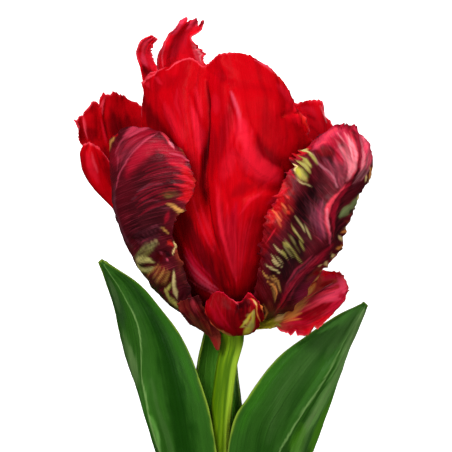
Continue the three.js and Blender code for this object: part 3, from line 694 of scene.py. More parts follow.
backRightPetal = {
    "node": "petal_back_right", "slot": "petal_red", "seed": 2, "grid": (100, 120), "thick": 0.45, "wave": 1,
    "rows": [
        claw(115, 3.9, 4, 4),
        [[7, 12.5, -13.5], [11, 12, -10.5], [13, 12.5, -5.5], [12.5, 13, 0]],
        [[13, 30, -22], [21, 29, -17], [25.5, 30, -7], [23, 31, 4]],
        [[15, 47, -27], [26, 46, -21.5], [32, 47, -9], [30, 48, 7]],
        [[15, 60, -27], [24.5, 59.5, -23], [31.5, 60, -12], [33, 59.5, 5]],
        [[15, 74, -25], [21.8, 76.8, -21], [29, 77.4, -14.5], [33.8, 69, -1]],
    ],
    # Its flare body and its flare and scarlet marks are painted light, laid bright on a petal that the bloom
    # shades; the shell, rose and coral lines are painted highlights.
    "ground": ("flare", "oxblood", "rose", 0.5),
    "pleat": 4, "crumple": 0.6,
    "teeth": {"left": (0.6, 1.6, 0.5, 0.4), "right": (1.1, 1.5, 0.5, 0.5), "tip": (1.2, 1.4, 0.6, 0.6)},
    "marks": [
        ("scarlet", 0.9, 9, [(298, 104), (310, 108), (322, 116)]),
        ("flare", 0.9, 12, [(300, 110), (314, 118), (328, 128)]),
        ("rose", 0.5, 3, [(314, 121), (321, 124), (328, 130)]),
        ("oxblood", 0.5, 2, [(306, 113), (314, 117), (322, 126)]),
        ("oxblood", 0.5, 1.6, [(308, 124), (316, 128), (322, 135)]),
        ("coral", 0.6, 3, [(302, 106), (312, 108), (318, 116)]),
        ("flare", 0.9, 6, [(312, 120), (320, 126), (330, 130)]),
        ("oxblood", 0.4, 3, [(302, 114), (308, 122)]),
        ("shell", 0.6, 1.2, [(321, 105), (326, 113), (328, 122)]),
    ],
}
makeBlade("backRightPetal", backRightPetal, petalRed)

leftPetal = {
    "node": "petal_left", "slot": "petal_wine", "seed": 3, "grid": (190, 190), "thick": 0.5, "wave": 0.5,
    "rows": [
        claw(-60, 5.1, 2, 5.2),
        [[-14.6, 9.8, -2.2], [-18.3, 9.2, 1.2], [-20.5, 9, 6], [-16.6, 6.6, 11.5], [-9.5, 5.5, 13.5]],
        [[-26.3, 23, -4.5], [-29.5, 21.5, 0], [-30.5, 21, 7], [-25.5, 19.5, 16.5], [-14.8, 17.5, 22.3]],
        [[-34, 38, -6.5], [-36.8, 36.5, -0.5], [-37.5, 36, 9], [-32, 35, 21], [-19.3, 34, 30]],
        [[-37, 51, -4.5], [-39.5, 49.5, 1], [-39, 47.5, 13], [-30, 47, 28], [-12.7, 46, 36.5]],
        [[-39.4, 61, -2.5], [-40.9, 59.5, 4], [-38, 59, 16], [-28.5, 58, 29], [-13, 54, 36.5]],
        [[-40.6, 64, -1], [-38.8, 66, 5.5], [-33, 68, 14], [-25.5, 66.5, 24.5], [-16.7, 60.5, 32.5]],
        [[-38.5, 62, 0.5], [-35.5, 63.5, 7.5], [-30.5, 64.7, 13], [-24.5, 62.7, 21.5], [-18, 57.7, 28.5]],
    ],
    "ground": ("wine", "night", "rust", 1.6),
    "pleat": 3.2, "crumple": 0.6, "midrib": (0.42, 62),
    "teeth": {"left": (1.1, 1.8, 0.6, 0.5), "right": (1.2, 2.1, 0.5, 0.6), "tip": (0.9, 1.6, 0.6, 0.4)},
    "spikes": [
        ("right", 0.5, 1.6, 0.014, 0.4), ("right", 0.436, 1.1, 0.02, 0.3),
        ("right", 0.335, 1.5, 0.014, 0.4), ("right", 0.26, 1.2, 0.02, 0.3),
    ],
    "folds": [
        (1.1, 4.5, 0.5, [(160, 133), (148, 142), (137, 152), (128, 164), (122, 178), (119, 196),
                         (120, 212), (128, 240)]),
        (0.4, 2.2, 0, [(158, 134), (165, 138), (171, 144), (177, 152)]),
        (-0.7, 10, 0, [(150, 158), (146, 180), (148, 210), (156, 236)]),
        (0.35, 1.8, 0, [(132, 176), (150, 168), (172, 164), (192, 166)]),
        (-0.3, 1.8, 0, [(132, 184), (152, 175), (174, 172), (195, 178)]),
        (0.35, 1.8, 0, [(134, 196), (152, 185), (172, 184), (194, 190)]),
        (-0.3, 2, 0, [(134, 208), (150, 200), (168, 201), (180, 206)]),
        (0.3, 1.8, 0, [(136, 218), (150, 210), (168, 208)]),
        (-0.5, 3, 0, [(130, 240), (146, 240), (160, 236), (174, 240)]),
        (1.2, 5, 0, [(138, 262), (146, 254), (156, 250)]),
        (-1.2, 3, 0, [(146, 274), (156, 268), (160, 256), (168, 250)]),
        (1.0, 5, 0, [(158, 280), (166, 272), (174, 264)]),
        (-1.0, 3, 0, [(158, 290), (168, 286), (172, 276)]),
        (1.0, 3, 0, [(170, 300), (175, 288), (176, 272)]),
        (-0.8, 3, 0, [(180, 310), (184, 296), (184, 282)]),
        (0.7, 4, 0, [(188, 318), (192, 304), (190, 290)]),
    ],
    # Besides the petal's own flames and its green, gold and straw splashes, these marks and fans hold painted
    # light: the pink, rose and blush lines are painted highlights along its fold, ridges and margin, and the
    # black marks in its folds are painted shade.
    "marks": [
        ("night", 0.9, 22, [(140, 182), (150, 200), (148, 226), (154, 246)]),
        ("mauve", 0.5, 3, [(116, 184), (117, 206), (123, 230), (132, 246)]),
        ("carmine", 0.75, 8, [(124, 150), (138, 138), (154, 133)]),
        ("carmine", 0.4, 6, [(118, 146), (116, 168)]),
        ("cerise", 0.6, 4, [(125, 137), (134, 131), (146, 129)]),
        ("carmine", 0.85, 7, [(164, 142), (150, 150), (138, 160), (129, 176)]),
        ("carmine", 0.85, 8, [(164, 146), (176, 158), (188, 172)]),
        ("black", 0.65, 9, [(160, 178), (172, 186), (166, 192)]),
        ("black", 0.5, 8, [(132, 214), (138, 236), (142, 250)]),
        ("pink", 0.65, 1.2, [(158, 136), (147, 143), (137, 152), (129, 163), (123, 176), (120, 190)]),
        ("mauve", 0.6, 1.6, [(120, 188), (119, 206), (122, 222), (130, 243)]),
        ("rose", 0.7, 0.8, [(161, 136), (167, 141), (171, 146), (175, 151)]),
        ("blush", 0.6, 0.8, [(169, 143), (172, 146), (175, 150)]),
        ("carmine", 0.6, 3, [(158, 130), (166, 134), (174, 142)]),
        ("carmine", 0.8, 4, [(155, 145), (162, 150), (170, 157)]),
        ("pink", 0.4, 2, [(130, 138), (140, 131), (150, 129)]),
        ("scarlet", 0.9, 7, [(184, 166), (191, 182), (188, 200)]),
        ("coral", 0.7, 1.6, [(170, 164), (184, 167), (194, 172)]),
        ("coral", 0.7, 1.6, [(174, 175), (188, 178), (197, 187)]),
        ("pink", 0.6, 1.3, [(170, 154), (182, 157), (191, 163)]),
        ("coral", 0.6, 1.4, [(174, 184), (186, 186), (196, 190)]),
        ("mauve", 0.6, 1.3, [(138, 192), (150, 185), (166, 184)]),
        ("mauve", 0.6, 1.3, [(142, 203), (152, 200), (161, 202)]),
        ("mauve", 0.5, 1.3, [(146, 212), (158, 207), (172, 209)]),
        ("mauve", 0.4, 1.3, [(132, 200), (138, 196)]),
        ("brown", 0.85, 4, [(161, 195), (170, 193), (181, 195)]),
        ("olive", 0.5, 2.5, [(164, 196), (174, 196)]),
        ("scarlet", 0.9, 3, [(178, 199), (187, 198), (195, 200)]),
        ("scarlet", 0.85, 4, [(182, 191), (191, 194), (197, 196)]),
        ("night", 0.6, 5, [(148, 205), (158, 207), (167, 204)]),
        ("gold", 0.95, 1.8, [(167, 204), (174, 206), (182, 214)]),
        ("carmine", 0.6, 3, [(169, 213), (166, 222)]),
        ("gold", 0.9, 1.3, [(160, 227), (165, 229), (170, 232)]),
        ("mauve", 0.7, 1, [(149, 228), (157, 226), (163, 229)]),
        ("ember", 0.85, 2.4, [(167, 243), (172, 242), (174, 246)]),
        ("bead", 0.9, 1.2, [(175, 241), (176, 247), (173, 254)]),
        ("reed", 0.8, 4, [(138, 257), (148, 248), (157, 244)]),
        ("acidPale", 0.95, 3.4, [(139, 261), (147, 257), (153, 261)]),
        ("acidPale", 0.95, 2.6, [(139, 262), (142, 269), (148, 270), (154, 266)]),
        ("straw", 0.8, 1.6, [(138, 262), (142, 255)]),
        ("black", 0.9, 1.8, [(141, 266), (145, 262)]),
        ("olive", 0.8, 1.4, [(141, 271), (148, 273), (155, 270)]),
        ("straw", 0.4, 1.2, [(150, 244), (156, 241), (160, 243)]),
        ("oxblood", 0.9, 4, [(158, 252), (161, 262)]),
        ("black", 0.9, 3, [(165, 252), (171, 256)]),
        ("pink", 0.8, 1.3, [(159, 253), (163, 253)]),
        ("pink", 0.8, 1.3, [(167, 258), (169, 261)]),
        ("rust", 0.55, 7, [(156, 268), (164, 273), (163, 284)]),
        ("gold", 0.6, 1.3, [(157, 281), (166, 270)]),
        ("gold", 0.5, 1.3, [(162, 284), (172, 270)]),
        ("night", 0.95, 9, [(184, 268), (189, 284), (196, 302), (204, 320)]),
        ("black", 0.8, 5, [(190, 276), (194, 290), (200, 302)]),
        ("lime", 0.95, 3, [(165, 290), (170, 297), (180, 308)]),
        ("straw", 0.95, 2, [(175, 270), (175, 282), (177, 298)]),
        ("lime", 0.9, 2.5, [(173, 283), (166, 292)]),
        ("black", 0.85, 1.6, [(172, 286), (171, 296)]),
        ("moss", 0.8, 2.5, [(180, 303), (185, 313)]),
        ("black", 0.85, 5, [(144, 277), (156, 294), (170, 307), (184, 318)]),
        ("rust", 0.5, 1.2, [(189, 296), (195, 312)]),
        ("rust", 0.8, 5, [(199, 327), (208, 335)]),
        ("gold", 0.85, 2, [(109, 152), (110, 144), (115, 137)]),
        ("scarlet", 0.7, 2, [(113, 137), (118, 134)]),
    ],
    "fans": [
        ("crimson", 0.6, 0.6, 14, [(132, 176), (150, 165), (172, 160), (192, 163)],
         [(134, 222), (150, 212), (166, 206), (182, 204)]),
        ("night", 0.7, 0.7, 14, [(132, 172), (150, 162), (170, 158), (190, 160)],
         [(134, 226), (150, 216), (166, 208), (180, 208)]),
        ("coral", 0.7, 0.7, 8, [(168, 162), (182, 164), (196, 170)], [(168, 200), (182, 200), (196, 200)]),
        ("pink", 0.5, 0.6, 10, [(122, 182), (127, 164), (140, 148), (158, 136)],
         [(116, 168), (116, 150), (124, 137), (138, 130)]),
        ("wine", 0.6, 0.8, 8, [(124, 182), (129, 164), (141, 149), (158, 138)],
         [(117, 168), (117, 151), (125, 139), (140, 132)]),
        ("mauve", 0.5, 0.6, 9, [(126, 228), (140, 230), (156, 224), (168, 222)],
         [(134, 250), (146, 245), (158, 240), (170, 238)]),
        ("black", 0.6, 0.8, 10, [(126, 226), (140, 228), (156, 222), (168, 220)],
         [(134, 252), (146, 247), (158, 242), (172, 240)]),
        ("gold", 0.6, 0.6, 8, [(144, 278), (152, 268), (158, 262)], [(166, 288), (171, 276), (173, 266)]),
        ("oxblood", 0.8, 0.8, 8, [(146, 280), (154, 269), (160, 262)], [(166, 290), (172, 277), (174, 266)]),
        ("olive", 0.8, 0.6, 6, [(136, 256), (146, 246)], [(146, 262), (160, 242)]),
        ("night", 0.8, 0.6, 5, [(136, 257), (147, 246)], [(144, 262), (160, 243)]),
        ("rose", 0.6, 0.6, 5, [(187, 286), (192, 300), (198, 314)], [(194, 284), (200, 298), (206, 312)]),
    ],
}
makeBlade("leftPetal", leftPetal, petalWine)
print("left petal made")

rightPetal = {
    "node": "petal_right", "slot": "petal_wine", "seed": 4, "grid": (215, 215), "thick": 0.5, "wave": 0.6,
    "rows": [
        claw(60, 5.1, 2, 5.2),
        [[6.4, 10, 17.8], [10, 8.5, 17.6], [13, 8, 16], [15.3, 8, 13.5], [17, 7.5, 10], [17.7, 7, 6.5]],
        [[8.4, 21, 27.2], [12.4, 20, 29.2], [16.7, 19, 27.5], [20, 19.5, 26], [24.5, 17.5, 19.5],
         [27, 15.5, 12.5]],
        [[9.5, 30, 33], [16, 29.3, 36], [23, 28.5, 33], [29.5, 29, 30.5], [33.3, 27.6, 23.5],
         [35.3, 27.8, 15.5]],
        [[11.8, 38.5, 37], [18, 38, 39], [25, 37.7, 35], [31, 38, 33], [35.6, 37, 27], [38.9, 36.3, 19]],
        [[14.8, 45.5, 39], [21, 46, 41], [28, 46, 36.5], [34, 46.7, 33], [39, 46, 27], [41.5, 44.8, 19]],
        [[19.8, 56, 38], [26, 55.3, 38], [33, 54.7, 34], [40, 55, 29], [44.8, 53.4, 24], [46.9, 51.4, 17]],
        [[26, 63, 33], [31, 64, 32], [36, 64.5, 29.5], [41, 63, 26], [44.2, 62, 22], [45.6, 60.5, 17]],
        [[30.5, 65.6, 28], [34, 68.2, 26], [37.5, 69.3, 24.5], [40, 68.4, 23.5], [42.2, 66.3, 21],
         [43.7, 65, 18]],
    ],
    "ground": ("wine", "night", "carmine", 2.0),
    "pleat": 3.2, "crumple": 0.7, "midrib": (0.62, 45),
    "teeth": {"left": (1.7, 1.8, 0.5, 0.7), "right": (1.9, 2.2, 0.7, 0.8), "tip": (1.4, 1.0, 0.7, 0.5)},
    "spikes": [
        ("left", 0.76, 2.6, 0.014, 0.6), ("left", 0.735, -1.5, 0.01, 0), ("left", 0.79, 1.8, 0.012, 0.6),
        ("left", 0.82, 2.0, 0.012, 0.6), ("left", 0.62, 1.5, 0.012, 0.4), ("left", 0.52, 1.3, 0.012, 0.4),
        ("left", 0.36, 1.6, 0.014, 0.4),
    ],
    "folds": [
        (1.5, 4.5, 0.3, [(354, 134), (356, 148), (355, 160), (348, 175), (337, 189), (328, 201),
                         (324, 216), (326, 234), (327, 244)]),
        (1.3, 6, -0.2, [(326, 240), (316, 252), (302, 264), (291, 277), (284, 291), (279, 305)]),
        (-1.0, 2.6, 0, [(309, 271), (301, 281), (292, 292), (284, 304), (274, 318)]),
        (-1.3, 13, 0, [(334, 152), (318, 185), (306, 212), (296, 240)]),
        (-0.9, 5, 0, [(352, 186), (342, 204), (337, 222), (336, 244)]),
        (0.45, 2, 0, [(326, 138), (340, 146), (349, 160), (350, 172)]),
        (-0.4, 2, 0, [(332, 134), (345, 143), (353, 156)]),
        (0.45, 2, 0, [(322, 146), (336, 156), (344, 168), (343, 180)]),
        (-0.4, 2, 0, [(318, 150), (330, 160), (338, 172), (338, 184)]),
        (0.45, 2, 0, [(314, 158), (325, 168), (333, 180), (334, 188)]),
        (-0.4, 2, 0, [(310, 170), (322, 180), (329, 192)]),
        (0.7, 4, 0, [(290, 160), (300, 172), (312, 184)]),
        (-0.7, 2, 0, [(294, 158), (304, 170), (316, 180)]),
        (0.5, 2, 0, [(362, 132), (366, 148), (362, 166), (352, 180)]),
        (-0.5, 2, 0, [(358, 134), (361, 150), (357, 168)]),
        (0.8, 5, 0, [(312, 282), (302, 293), (288, 309)]),
    ],
    # Besides the petal's own cream, gold, green and straw fringe and flames, these marks and fans hold
    # painted light: the hot, shell, blush, rose, pink and cerise lines are painted highlights on the lobes
    # and along the midrib, some laid where the right lobe turns from the light.
    "marks": [
        ("night", 0.92, 15, [(322, 176), (312, 198), (304, 222), (294, 246), (280, 270)]),
        ("crimson", 0.9, 12, [(320, 146), (336, 134), (352, 138)]),
        ("crimson", 0.8, 10, [(336, 148), (348, 162)]),
        ("cerise", 0.75, 9, [(358, 134), (365, 148), (364, 162)]),
        ("blush", 0.6, 2.6, [(359, 137), (365, 147), (368, 158)]),
        ("cerise", 0.5, 5, [(330, 138), (340, 134), (348, 142)]),
        ("cerise", 0.4, 5, [(342, 148), (348, 160), (347, 170)]),
        ("mauve", 0.75, 8, [(326, 160), (334, 172), (337, 184)]),
        ("mauve", 0.6, 5, [(368, 160), (362, 172), (352, 186)]),
        ("hot", 0.45, 5, [(312, 150), (320, 142), (331, 134), (342, 131)]),
        ("hot", 0.95, 6, [(356, 130), (364, 142), (368, 156), (366, 164)]),
        ("shell", 0.85, 3.2, [(361, 134), (367, 146), (370, 158)]),
        ("wine", 0.4, 5, [(352, 166), (353, 177), (347, 186)]),
        ("wine", 0.55, 6, [(322, 162), (329, 174), (333, 186)]),
        ("hot", 0.7, 3.4, [(344, 134), (350, 146), (352, 158)]),
        ("shell", 0.8, 1.4, [(343, 133), (350, 144), (352, 156)]),
        ("shell", 0.6, 0.9, [(336, 134), (343, 142), (347, 152), (348, 162)]),
        ("shell", 0.5, 0.8, [(330, 137), (337, 145), (342, 155), (343, 166)]),
        ("carmine", 0.85, 1.8, [(349, 126), (351, 132), (355, 142)]),
        ("rose", 0.8, 1.5, [(324, 139), (331, 133), (339, 128)]),
        ("rose", 0.7, 1.5, [(316, 146), (322, 143), (329, 143)]),
        ("wine", 0.8, 1.3, [(350, 128), (354, 138), (357, 150), (356, 162)]),
        ("rose", 0.8, 1.6, [(349, 132), (353, 145), (354, 158), (351, 170), (345, 180), (337, 190)]),
        ("blush", 0.6, 0.8, [(351, 140), (354, 154), (352, 166)]),
        ("rose", 0.7, 1.1, [(343, 132), (349, 144), (352, 157), (349, 168), (345, 176)]),
        ("pink", 0.7, 0.9, [(339, 139), (345, 149), (349, 161), (347, 172)]),
        ("pink", 0.7, 0.8, [(336, 147), (341, 157), (344, 166), (342, 178)]),
        ("pink", 0.5, 0.7, [(332, 153), (337, 165), (339, 176), (337, 184)]),
        ("pink", 0.5, 0.7, [(328, 160), (333, 172), (334, 182)]),
        ("blush", 0.5, 0.8, [(362, 138), (367, 150), (367, 162)]),
        ("blush", 0.4, 0.8, [(359, 142), (362, 154), (360, 166)]),
        ("night", 0.7, 1.2, [(324, 150), (331, 160), (336, 170)]),
        ("night", 0.4, 2.6, [(364, 166), (357, 176), (350, 186)]),
        ("crimson", 0.75, 5, [(325, 144), (333, 141), (341, 145)]),
        ("blood", 0.7, 5, [(316, 152), (325, 151), (333, 155)]),
        ("cerise", 0.85, 4, [(357, 137), (361, 150), (361, 163), (357, 173)]),
        ("hot", 0.9, 5, [(362, 134), (367, 146), (369, 158), (366, 168)]),
        ("wine", 0.6, 4, [(318, 164), (326, 171), (331, 181)]),
        ("wine", 0.4, 4, [(336, 166), (341, 174), (341, 184)]),
        ("shell", 0.8, 1.2, [(347, 136), (350, 147), (351, 161)]),
        ("crimson", 0.75, 2, [(353, 130), (357, 142), (358, 155), (355, 168)]),
        ("crimson", 0.5, 2, [(341, 137), (345, 147), (347, 158)]),
        ("wine", 0.6, 4, [(338, 170), (343, 178), (343, 186)]),
        ("wine", 0.6, 3, [(352, 172), (354, 180), (349, 188)]),
        ("mauve", 0.6, 3.5, [(319, 214), (320, 226), (323, 238)]),
        ("rust", 0.6, 4, [(306, 282), (314, 274), (322, 265)]),
        ("blush", 0.6, 0.8, [(312, 153), (316, 161), (322, 167), (329, 172), (334, 180), (335, 188)]),
        ("black", 0.85, 9, [(320, 186), (310, 198), (302, 212), (306, 226)]),
        ("plum", 0.8, 5, [(321, 202), (317, 218), (320, 238)]),
        ("mauve", 0.6, 0.8, [(318, 200), (314, 216), (316, 234)]),
        ("mauve", 0.6, 0.8, [(324, 196), (320, 212), (320, 230)]),
        ("mauve", 0.5, 0.7, [(313, 206), (310, 220), (314, 236)]),
        ("crimson", 0.85, 4.5, [(350, 178), (341, 191), (334, 204), (331, 218), (332, 236)]),
        ("rose", 0.9, 1.7, [(340, 187), (331, 197), (326, 207), (324, 217), (325, 229), (327, 240)]),
        ("blush", 0.6, 0.8, [(325, 208), (324, 218), (326, 232)]),
        ("pink", 0.7, 1.4, [(325, 228), (327, 238), (329, 246)]),
        ("night", 0.8, 5, [(343, 202), (339, 222), (337, 244)]),
        ("mauve", 0.7, 1.2, [(322, 250), (308, 258), (296, 268), (287, 279), (282, 292)]),
        ("crimson", 0.85, 5.5, [(330, 244), (314, 260), (300, 273), (290, 287), (283, 301), (276, 314)]),
        ("rose", 0.45, 1.4, [(318, 254), (304, 266), (293, 280), (286, 294)]),
        ("cherry", 0.85, 6, [(316, 276), (306, 289), (294, 302)]),
        ("black", 0.85, 1.5, [(311, 271), (301, 280), (292, 292), (283, 305), (272, 318)]),
        ("rust", 0.8, 3, [(322, 272), (314, 284), (304, 298), (292, 311)]),
        ("gold", 0.8, 1.2, [(319, 274), (312, 285), (303, 298), (290, 311)]),
        ("amber", 0.7, 0.8, [(323, 276), (316, 287), (307, 297)]),
        ("blood", 0.9, 2.2, [(313, 274), (319, 271)]),
        ("sage", 0.85, 3.5, [(349, 206), (356, 200), (361, 194)]),
        ("sage", 0.9, 3.4, [(340, 217), (346, 210), (353, 204)]),
        ("bead", 0.9, 1.4, [(370, 168), (371, 175), (367, 182)]),
        ("amber", 0.9, 1.2, [(372, 166), (373, 174)]),
        ("bead", 0.7, 1.1, [(366, 175), (364, 182)]),
        ("black", 0.9, 1.8, [(364, 188), (367, 186)]),
        ("bead", 0.8, 1.2, [(356, 200), (362, 193)]),
        ("black", 0.85, 2, [(348, 213), (352, 209)]),
        ("rust", 0.85, 2.2, [(344, 221), (351, 223)]),
        ("bead", 0.95, 1.8, [(344, 229), (349, 227), (351, 232)]),
        ("amber", 0.9, 1.4, [(341, 233), (346, 230)]),
        ("black", 0.85, 1.5, [(345, 235), (351, 233)]),
        ("bead", 0.9, 2.2, [(339, 236), (343, 241)]),
        ("oxblood", 0.9, 2.2, [(336, 250), (343, 244)]),
        ("amber", 0.85, 0.9, [(334, 249), (342, 244)]),
        ("bead", 0.95, 2.6, [(330, 253), (333, 258)]),
        ("black", 0.8, 1.2, [(328, 253), (331, 262)]),
        ("bead", 0.95, 2.6, [(324, 260), (327, 265)]),
        ("bead", 0.8, 1.4, [(318, 266), (322, 264)]),
        ("amber", 0.85, 1.3, [(320, 271), (329, 269)]),
        ("blood", 0.95, 10, [(284, 180), (283, 204), (276, 222), (269, 238)]),
        ("scarlet", 0.9, 5, [(281, 176), (282, 192), (275, 212), (266, 230)]),
        ("blood", 0.9, 4.5, [(282, 168), (287, 180), (292, 194)]),
        ("blood", 0.9, 5, [(268, 216), (264, 232), (265, 246), (262, 258)]),
        ("amber", 0.9, 1.4, [(368, 166), (371, 172), (368, 179)]),
        ("coral", 0.8, 0.9, [(282, 162), (288, 171), (295, 180)]),
        ("coral", 0.65, 1, [(276, 228), (271, 235), (266, 242)]),
        ("coral", 0.6, 1, [(277, 197), (282, 192), (288, 188)]),
        ("flame", 0.95, 0.9, [(271, 208), (275, 213), (281, 221)]),
        ("flame", 0.9, 0.8, [(281, 203), (286, 209)]),
        ("ember", 0.9, 1.8, [(286, 211), (289, 214)]),
        ("ember", 0.8, 1.2, [(286, 196), (289, 199)]),
        ("flame", 0.6, 0.7, [(276, 218), (281, 227)]),
        ("red", 0.85, 4, [(290, 158), (300, 153), (310, 149)]),
        ("lime", 0.95, 5, [(295, 169), (300, 175), (305, 181)]),
        ("acid", 0.7, 2, [(292, 167), (297, 172), (300, 178)]),
        ("bead", 0.9, 1.4, [(288, 162), (292, 167), (295, 173)]),
        ("moss", 0.6, 2.5, [(303, 172), (308, 178)]),
        ("straw", 0.85, 1, [(295, 178), (300, 183), (307, 185), (313, 188)]),
        ("lime", 0.95, 1.7, [(297, 161), (302, 164), (307, 169), (311, 174)]),
        ("lime", 0.95, 2, [(302, 157), (306, 161), (311, 168)]),
        ("lime", 0.9, 1.5, [(301, 150), (307, 152), (313, 158), (318, 165)]),
        ("straw", 0.8, 0.8, [(300, 150), (306, 151), (313, 156)]),
        ("night", 0.8, 0.8, [(297, 165), (303, 168), (309, 176)]),
        ("night", 0.8, 0.8, [(305, 157), (310, 163), (315, 170)]),
        ("scarlet", 0.9, 1.4, [(288, 158), (293, 161), (298, 162)]),
        ("scarlet", 0.9, 1.3, [(296, 154), (301, 157)]),
        ("black", 0.85, 9, [(300, 232), (290, 250), (280, 264), (270, 276)]),
        ("black", 0.7, 6, [(304, 244), (292, 264), (280, 280)]),
        ("oxblood", 0.85, 8, [(268, 282), (268, 298), (264, 314)]),
        ("oxblood", 0.95, 6, [(264, 252), (259, 266), (258, 282), (260, 298), (262, 310)]),
        ("straw", 0.8, 0.8, [(294, 216), (298, 221), (302, 226), (305, 233)]),
        ("lime", 0.9, 1.2, [(291, 224), (294, 231), (299, 237), (303, 243)]),
        ("straw", 0.7, 0.7, [(304, 224), (308, 233), (311, 240)]),
        ("lime", 0.85, 0.9, [(298, 240), (301, 246), (304, 251)]),
        ("lime", 0.95, 2.6, [(283, 242), (289, 247)]),
        ("lime", 0.8, 0.9, [(289, 245), (294, 252), (297, 257), (301, 261)]),
        ("straw", 0.85, 0.8, [(273, 244), (278, 250), (283, 254), (288, 260)]),
        ("lime", 0.85, 1.2, [(281, 250), (286, 256)]),
        ("straw", 0.8, 0.8, [(271, 254), (275, 260), (282, 267)]),
        ("straw", 0.9, 1.1, [(264, 264), (270, 267), (276, 270), (280, 273)]),
        ("gold", 0.85, 0.9, [(262, 271), (266, 276), (272, 278), (277, 283)]),
        ("amber", 0.9, 1.2, [(267, 281), (273, 285), (276, 291), (275, 298)]),
        ("gold", 0.85, 0.9, [(273, 275), (278, 281), (280, 290)]),
        ("rust", 0.7, 3, [(268, 300), (272, 312)]),
        ("amber", 0.8, 1, [(263, 303), (267, 312), (262, 322)]),
    ],
    "fans": [
        ("pink", 0.5, 0.6, 18, [(345, 130), (352, 143), (355, 156), (352, 170), (344, 182)],
         [(308, 160), (318, 168), (327, 178), (333, 187), (334, 194)]),
        ("night", 0.6, 0.6, 16, [(343, 132), (350, 145), (353, 158), (350, 172), (342, 184)],
         [(310, 164), (319, 171), (327, 180), (332, 188), (332, 196)]),
        ("shell", 0.6, 0.5, 8, [(346, 132), (352, 144), (354, 155), (352, 168), (345, 180)],
         [(330, 140), (338, 150), (343, 160), (345, 172), (340, 184)]),
        ("shell", 0.55, 0.6, 7, [(356, 132), (360, 148), (359, 164), (352, 178), (342, 190)],
         [(369, 150), (371, 160), (368, 170), (359, 182), (346, 194)]),
        ("wine", 0.5, 0.7, 5, [(356, 134), (359, 148), (358, 164), (351, 178), (341, 190)],
         [(368, 154), (369, 162), (366, 172), (357, 184), (345, 196)]),
        ("mauve", 0.6, 0.5, 12, [(303, 190), (305, 205), (312, 222), (318, 240)],
         [(327, 196), (323, 210), (322, 226), (325, 242)]),
        ("pink", 0.4, 0.5, 6, [(320, 196), (317, 208), (318, 222), (322, 238)],
         [(328, 196), (324, 210), (323, 226), (326, 242)]),
        ("cerise", 0.6, 0.7, 8, [(320, 246), (306, 256), (292, 269), (283, 284), (276, 302)],
         [(328, 254), (316, 267), (303, 280), (294, 294), (286, 308)]),
        ("night", 0.7, 0.6, 8, [(320, 248), (306, 258), (293, 271), (284, 286), (278, 302)],
         [(330, 254), (317, 268), (304, 282), (295, 296), (288, 308)]),
        ("flame", 0.7, 0.7, 5, [(286, 200), (294, 212)], [(272, 212), (279, 224)]),
        ("straw", 0.9, 0.8, 6, [(294, 218), (306, 242)], [(266, 258), (282, 274)]),
        ("lime", 0.8, 0.9, 4, [(288, 230), (302, 252)], [(276, 250), (290, 264)]),
        ("gold", 0.8, 0.9, 4, [(262, 268), (276, 276), (280, 292)], [(264, 284), (272, 292), (272, 308)]),
    ],
}
makeBlade("rightPetal", rightPetal, petalWine)
print("right petal made")

rearPetal = {
    "node": "petal_back", "slot": "petal_wine", "seed": 5, "grid": (110, 130), "thick": 0.45, "wave": 0.8,
    "faces": -1,
    "rows": [
        claw(180, 5.1, 2, 5.2)[::-1],
        [[-10, 9, -12], [-6, 8, -15.5], [0, 7.5, -17], [7, 8, -15.5], [12, 9, -11]],
        [[-20, 23, -23], [-11.5, 21, -30.5], [0, 20, -33], [13, 21, -30], [24, 23, -19]],
        [[-26, 39, -30], [-15, 38, -39], [0, 37, -42], [17, 38, -38.5], [31, 40, -24]],
        [[-25.5, 54, -32], [-14.5, 53, -40.5], [0, 52, -43.5], [16.5, 53, -40], [30, 54, -27]],
        [[-21, 71, -31.5], [-11.5, 71, -36.5], [0, 70, -38.5], [13, 71, -36.5], [24, 70, -29]],
        [[-16, 83, -26], [-8, 88, -28], [1, 90.5, -28.5], [9.5, 89, -27], [16.8, 82.5, -24]],
    ],
    "ground": ("wine", "night", "rust", 1.6),
    "pleat": 4, "crumple": 0.6, "midrib": (0.5, 50),
    "teeth": {"left": (1.2, 2.0, 0.6, 0.6), "right": (1.2, 2.0, 0.6, 0.6), "tip": (1.3, 1.8, 0.6, 0.6)},
}
makeBlade("rearPetal", rearPetal, petalWine)

sidePetal = {
    "node": "petal_left_side", "slot": "petal_red", "seed": 6, "grid": (70, 110), "thick": 0.45, "wave": 0.3,
    "rows": [
        claw(-111, 5.1, 2, 1.8),
        [[-13.5, 9.5, -11.5], [-16.5, 8.8, -9.5], [-17.5, 8.6, -7], [-16.8, 9, -5]],
        [[-25.5, 26, -16], [-29, 25.5, -14], [-30.5, 25, -10.5], [-28.8, 25, -8]],
        [[-31.5, 38, -18], [-35.7, 38, -16], [-37.3, 38, -12], [-36, 38, -9.5]],
        [[-41.5, 51, -16], [-48.2, 51, -13], [-45.8, 48.9, -6.5], [-38.6, 46, -8.8]],
        [[-44, 60, -13], [-50.5, 59, -10], [-48, 58, -4], [-40.6, 56, -6.5]],
        [[-46.5, 62.5, -10.5], [-49.3, 62.6, -8], [-47.5, 63.2, -5], [-44.5, 61.7, -5]],
    ],
    "ground": ("scarlet", "oxblood", "rose", 0.45),
    "pleat": 3, "crumple": 0.3,
    "teeth": {"left": (0.5, 1.4, 0.4, 0.2), "right": (0.5, 1.4, 0.4, 0.2), "tip": (0.6, 1.4, 0.4, 0.2)},
    # The coral and rose marks are painted highlights on its glossy curl; the broad blood mark down its right
    # side is painted shade.
    "marks": [
        ("coral", 0.5, 4, [(86, 152), (90, 166), (97, 182)]),
        ("rose", 0.6, 3, [(88, 142), (94, 144), (99, 149)]),
        ("rose", 0.5, 1.6, [(91, 152), (93, 162), (97, 172)]),
        ("blood", 0.5, 1.2, [(94, 148), (98, 160), (104, 176)]),
        ("blood", 0.7, 4, [(101, 152), (106, 168), (112, 190)]),
    ],
}
makeBlade("sidePetal", sidePetal, petalRed)

